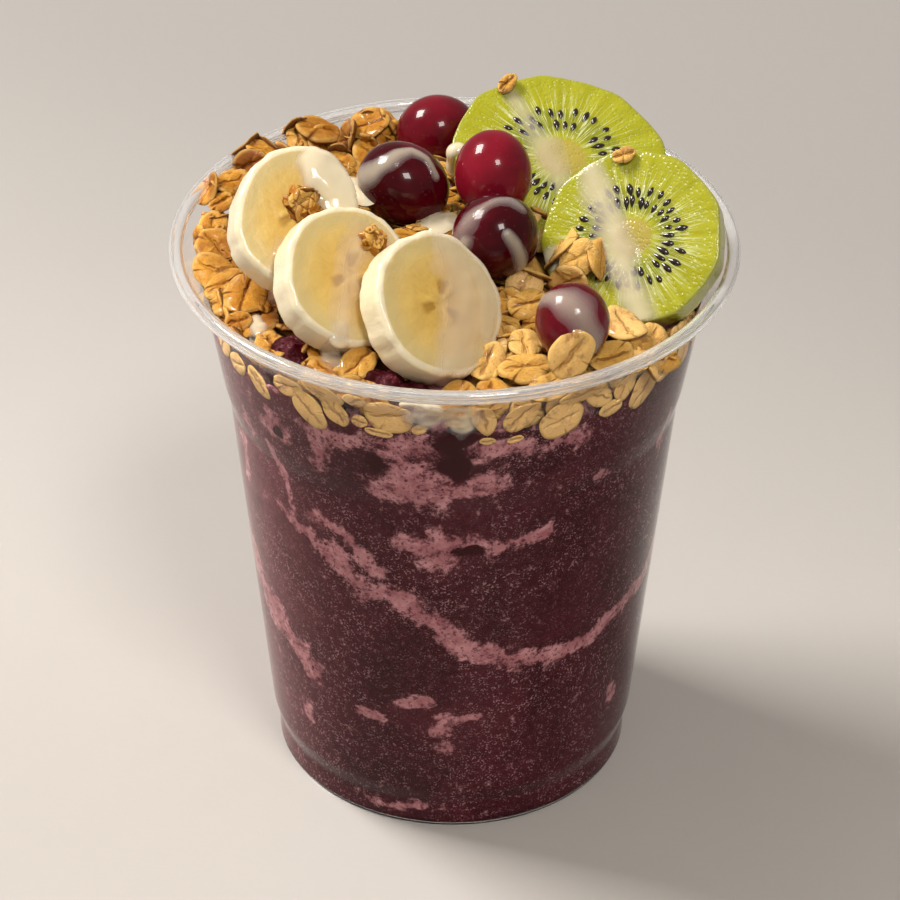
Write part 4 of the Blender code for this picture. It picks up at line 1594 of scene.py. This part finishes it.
# Each run of milk. A place is a share across and along a fruit, degrees and height at the wall, or
# x and y in mm on the heap or on top of all.
MILK_RUNS = (
    # Over the first kiwi slice.
    run(
        0.34, "kiwi_1",
        (-0.52, 0.66, 2.0), (-0.44, 0.52, 3.4), (-0.32, 0.32, 3.4), (-0.20, 0.10, 5.0),
        (-0.04, -0.17, 4.6), (0.06, -0.35, 4.6),
    ),
    # Over the second, and where it runs off its left foot.
    run(
        0.55, "kiwi_2",
        (-0.27, 0.86, 4.0), (-0.24, 0.60, 5.6), (-0.16, 0.25, 5.2), (-0.17, -0.12, 6.4),
        (-0.13, -0.48, 4.6), (-0.09, -0.90, 4.8),
    ),
    run(0.7, "kiwi_2", (-0.94, 0.20, 3.0), (-0.88, 0.0, 3.8), (-0.82, -0.2, 3.0)),
    # Across the second grape, from the pool at its left.
    run(
        0.42, "grape_2",
        (-0.95, -0.20, 4.2), (-0.67, -0.47, 4.0), (-0.40, -0.44, 3.2), (-0.12, -0.25, 2.6),
        (0.2, -0.1, 2.2), (0.55, -0.2, 2.0), (0.75, -0.45, 1.6),
    ),
    # The sheet over the right of the first banana slice, down to the grape.
    run(1.3, "banana_1", (-0.25, 0.92, 3.0), (0.10, 0.70, 7.0), (0.42, 0.52, 9.0), (0.72, 0.45, 9.0)),
    run(1.1, "banana_1", (0.50, 0.40, 8.0), (0.66, 0.12, 8.0)),
    # Across the fourth grape and down its front.
    run(
        0.3, "grape_4",
        (-0.95, -0.35, 4.0), (-0.62, -0.37, 3.2), (-0.30, -0.24, 2.4), (0.0, -0.05, 2.2),
        (0.33, 0.05, 2.4), (0.6, -0.1, 1.8),
    ),
    run(0.4, "grape_4", (-0.85, -0.55, 3.0), (-0.72, -0.66, 2.6)),
    run(0.45, "grape_4", (0.26, -0.80, 1.6), (0.46, -0.84, 2.2), (0.7, -0.85, 2.6)),
    # The sheet over the right half of the third banana slice.
    run(
        0.45, "banana_3",
        (-0.20, 0.78, 5.0), (0.05, 0.55, 7.5), (0.28, 0.30, 8.5), (0.42, -0.05, 8.5),
        (0.46, -0.40, 8.0), (0.42, -0.72, 6.5),
    ),
    run(0.4, "banana_3", (0.25, 0.70, 6.0), (0.55, 0.40, 7.0), (0.68, 0.0, 6.0)),
    # The second banana slice: a film at its top and a stream that drips off its front.
    run(0.22, "banana_2", (0.50, 0.60, 6.0), (0.25, 0.66, 5.0), (0.0, 0.55, 6.0)),
    run(
        0.34, "banana_2",
        (-0.05, 0.45, 5.6), (-0.04, 0.10, 4.6), (0.06, -0.22, 5.4), (0.07, -0.52, 4.8),
        (0.13, -0.82, 4.2),
    ),
    (0.4, ("banana_2", 0.13, -0.82, 3.6), ("banana_2", 0.19, -1.02, 3.4), ("top", -19.0, -32.0, 3.0)),
    # Between the first two slices, and the drop below it.
    run(
        0.45, "banana_1",
        (0.35, 0.15, 3.6), (0.10, -0.20, 4.0), (-0.02, -0.50, 4.4), (-0.10, -0.85, 4.2),
    ),
    run(0.6, "top", (-33.5, -17.5, 3.0), (-33.0, -21.5, 3.6)),
    # Down the fifth grape.
    run(
        0.36, "grape_5",
        (-0.75, 0.1, 2.6), (-0.48, -0.20, 3.6), (-0.10, -0.48, 5.0), (0.25, -0.72, 5.6),
        (0.5, -0.9, 4.4),
    ),
    # At the front, against the wall, and a pool behind the third grape.
    run(0.5, "wall", (-9.0, 98.5, 4.0), (-5.0, 97.5, 4.0)),
    run(1.0, "top", (-3.0, 21.0, 3.0), (0.5, 19.0, 3.4)),
)
# Level pools between the fruit: middle, height and radius in mm.
MILK_POOLS = (
    (-16.5, 6.5, 110.4, 4.6),
    (-3.0, 1.0, 107.7, 3.8),
)
# The smear down the inside of the wall: degrees round, height, half width and half height in mm.
WALL_SMEAR = ((1.0, 98.0, 1.9, 2.2), (-5.0, 97.6, 2.4, 1.6), (1.5, 95.6, 1.2, 1.4))


def smooth_run(stations, ground):
    """Closely spaced places, widths and normals along a run, laid on what is below it."""
    spots = [ground.spot(station)[0] for station in stations]
    widths = [station[3] * MM for station in stations]
    spots = [spots[0] * 2 - spots[1]] + spots + [spots[-1] * 2 - spots[-2]]
    laid = []
    for k in range(len(stations) - 1):
        a, b, c, d = spots[k:k + 4]
        steps = max(2, int((c - b).length / MILK_STEP))
        for i in range(steps + (k == len(stations) - 2)):
            t = i / steps
            curve = b * 2 + (c - a) * t + (a * 2 - b * 5 + c * 4 - d) * t**2
            curve += (b * 3 - a - c * 3 + d) * t**3
            place, normal, _ = ground.near(curve / 2)
            laid.append((place, widths[k] * (1 - t) + widths[k + 1] * t, normal, (c - b).normalized()))
    return laid


def milk_blob(gather, place, width, depth, normal, along, shape):
    """One flat drop of milk that sinks a little into what it lies on."""
    side = normal.cross(along)
    side = side.normalized() if side.length > 0.1 else normal.orthogonal()
    along = side.cross(normal)
    turn = Matrix((along, side, normal)).transposed().to_4x4()
    size = Matrix.Diagonal((0.62 * width, 0.60 * width, 2.2 * depth, 1.0))
    gather.add(*shape, Matrix.Translation(place - normal * 1.2 * depth) @ turn @ size)


def piece_tree(piece):
    """A tree to cast rays at one finished piece."""
    points = [piece.matrix_world @ v.co for v in piece.data.vertices]
    return BVHTree.FromPolygons(points, [tuple(polygon.vertices) for polygon in piece.data.polygons])


def film_rays(node):
    """Rays that sweep a slice's face or a berry's skin, and the faces between them."""
    if node.startswith("grape"):
        middle = Vector(node_points(node).mean(0))
        ball = bmesh.new()
        bmesh.ops.create_icosphere(ball, subdivisions=6, radius=1.0)
        rays = [(middle + v.co * 20.0 * MM, -v.co.normalized()) for v in ball.verts]
        faces = [tuple(v.index for v in face.verts) for face in ball.faces]
        ball.free()
        return rays, faces
    lie = Lie(node)
    reach = max(v.length for v in lie.outline)
    count = int(2.0 * reach / FILM_STEP) + 1
    down = -Vector(lie.axes[2])
    rays = []
    for i in range(count):
        for j in range(count):
            start = lie.to_world(i * FILM_STEP - reach, j * FILM_STEP - reach, 10.0 * MM)
            rays.append((start, down))
    return rays, grid_faces(count, count)


def film_depth(places, runs, ground):
    """How deep milk lies at each place, in mm, and below zero where there is none."""
    deep = np.full(len(places), -1.0)
    ragged = np.array([1.0 + 0.45 * noise.noise(Vector(p) / (4.0 * MM)) for p in places])
    for depth, *stations in runs:
        spots = [np.array(ground.spot(station)[0]) for station in stations]
        for k in range(len(spots) - 1):
            way = spots[k + 1] - spots[k]
            t = np.clip(((places - spots[k]) @ way) / (way @ way), 0.0, 1.0)
            away = np.linalg.norm(places - spots[k] - t[:, None] * way, axis=1)
            width = stations[k][3] * (1.0 - t) + stations[k + 1][3] * t
            share = away / (0.5 * FILM_WIDTH * width * ragged * MM)
            deep = np.maximum(deep, depth * np.maximum(1.0 - share**2, -0.5))
    return deep


def add_film(gather, node, piece, runs, ground):
    """Milk over one piece of fruit. It dips under the skin where there is none, which trims it."""
    rays, faces = film_rays(node)
    tree = piece_tree(piece)
    hits = [tree.ray_cast(start, way) for start, way in rays]
    known = np.array([hit[0] is not None for hit in hits])
    places = np.array([tuple(hit[0]) if hit[0] is not None else (9.0, 9.0, 9.0) for hit in hits])
    deep = np.where(known, film_depth(places, runs, ground), -1.0)
    kept = [face for face in faces if known[list(face)].all() and deep[list(face)].max() > 0.0]
    used, faces = keep_used(kept)
    points = [places[i] - np.array(rays[i][1]) * (max(deep[i], -0.12) * MM) for i in used]
    gather.add(points, faces, film=np.clip(deep[used], 0.0, 2.0))


def add_pool(gather, x, y, level, radius):
    """A pool that stands level between the fruit and swells a little towards its middle."""
    rows, columns = 14, 48
    rings = []
    for i in range(rows, 0, -1):
        row = []
        for c, s in circle(columns):
            reach = radius * (1.0 + 0.3 * noise.noise(Vector((1.4 * c, 1.4 * s, level)))) * i / rows
            at = Vector((x + reach * c, y + reach * s, level))
            swell = 0.8 * (1.0 - (i / rows) ** 2) + 0.3 * noise.noise(at / 2.2)
            row.append((at.x * MM, at.y * MM, (level + swell) * MM))
        rings.append(row)
    middle = (x * MM, y * MM, (level + 0.8 + 0.3 * noise.noise(Vector((x, y, level)) / 2.2)) * MM)
    points, faces = ring_stack(rings, None, middle)
    gather.add(points, faces, film=0.7)


def add_wall_smear(gather):
    """Milk that ran between the wall and the flakes, thin at its edges."""
    columns, rows = 120, 60
    points, film = [], []
    for i in range(rows):
        for j in range(columns):
            degrees, z = -16.0 + 28.0 * j / (columns - 1), 89.0 + 11.5 * i / (rows - 1)
            warp = noise.noise_vector(Vector((degrees * 0.7, z, 2.0)) / 2.4) * 1.3
            there = np.array([[degrees + warp.x * 1.4, z + warp.y]])
            share = max(float(patch_share(there, *patch)[0]) for patch in WALL_SMEAR)
            r = inner_radius(z * MM) + 0.42 * MM
            angle = math.radians(degrees)
            points.append((r * math.sin(angle), -r * math.cos(angle), z * MM))
            rough = 0.75 + 0.5 * noise.noise(Vector((degrees * 0.7, z, 5.0)) / 1.3)
            film.append(0.62 * min(share * 2.0, 1.0) * rough)
    outward = [(a, d, c, b) for a, b, c, d in grid_faces(rows, columns)]
    used, faces = keep_used([face for face in outward if max(film[k] for k in face) > 0.0])
    gather.add([points[k] for k in used], faces, film=[film[k] for k in used])


def make_milk(ground, fruit, material):
    """Films over the fruit, and runs between the pieces that are melted into one skin."""
    tilts = [math.pi * i / 9 for i in range(1, 9)]
    rings = [ring(math.sin(tilt), -math.cos(tilt), 14) for tilt in tilts]
    drop = ring_stack(rings, (0.0, 0.0, -1.0), (0.0, 0.0, 1.0))
    drops, films = Gather(), {}
    for run in MILK_RUNS:
        nodes = {station[0] for station in run[1:]}
        if len(nodes) == 1 and nodes <= set(FRUIT):
            films.setdefault(nodes.pop(), []).append(run)
            continue
        depth, *stations = run
        for place, width, normal, along in smooth_run(stations, ground):
            wide = width * (1.0 + 0.16 * noise.noise(place / (2.6 * MM)))
            deep = depth * MM * (1.0 + 0.25 * noise.noise(place / (3.4 * MM)))
            milk_blob(drops, place, wide, deep, normal, along, drop)
    raw = mesh_piece("raw milk", drops.points, drops.faces, material)
    melt = raw.modifiers.new("melt", "REMESH")
    melt.mode = "VOXEL"
    melt.voxel_size = MILK_VOXEL
    even = raw.modifiers.new("even", "SMOOTH")
    even.factor = 0.5
    even.iterations = 9
    done = raw.evaluated_get(bpy.context.evaluated_depsgraph_get()).to_mesh()
    points = [v.co.copy() for v in done.vertices]
    faces = [tuple(polygon.vertices) for polygon in done.polygons]
    bpy.data.objects.remove(raw)
    milk = Gather()
    film = []
    for point in points:
        to_wall = inner_radius(point.z) - math.hypot(point.x, point.y)
        film.append(min(ground.near(point)[2], to_wall + 0.15 * MM) / MM)
    milk.add(points, faces, film=film)
    for node, runs in films.items():
        add_film(milk, node, fruit[node], runs, ground)
    for pool in MILK_POOLS:
        add_pool(milk, *pool)
    add_wall_smear(milk)
    milk.piece("condensed_milk", material, "condensed_milk")


def condensed_milk():
    """Glossy cream that thins to a bluish film at its edges."""
    n = Nodes("condensed_milk")
    film = n.attribute("film")
    color = n.mix(n.smooth(film, 0.05, 0.6), (0.80, 0.72, 0.71), (0.90, 0.79, 0.56))
    n.set(
        Base_Color=color,
        Roughness=0.12,
        Subsurface_Weight=0.25,
        Subsurface_Radius=(1.0, 0.85, 0.6),
        Subsurface_Scale=1.2 * MM,
        Coat_Weight=0.6,
        Coat_Roughness=0.04,
        Alpha=n.smooth(film, 0.0, 0.95, 0.08, 0.88),
    )
    return n.material


# ---------------------------------------------------------------- the scene


def main():
    make_camera()
    make_world()
    for name, lamp in LAMPS.items():
        make_area_light(name, *lamp)
    make_floor()
    make_cup(clear_plastic("clear_plastic", 0.0, 1.2))
    make_rim(clear_plastic("rolled_plastic", 0.10, 1.46))
    acai = acai_blend()
    make_fill(acai)
    rng = random.Random(7)
    banana = banana_flesh()
    kiwi = kiwi_flesh()
    grape = grape_skin()
    fruit = {}
    for node in FRUIT:
        kind, number = node.split("_")
        if kind == "banana":
            fruit[node] = make_banana(int(number), banana)
        elif kind == "kiwi":
            fruit[node] = make_kiwi(int(number), kiwi)
        else:
            fruit[node] = make_grape(int(number), grape, rng)
    make_kiwi_seeds([Lie(node) for node in FRUIT if node.startswith("kiwi")], kiwi_seed(), rng)
    ground = make_granola(random.Random(11))
    make_lumps(acai, random.Random(4))
    make_milk(ground, fruit, condensed_milk())


main()
bpy.context.scene.view_settings.view_transform = "Standard"
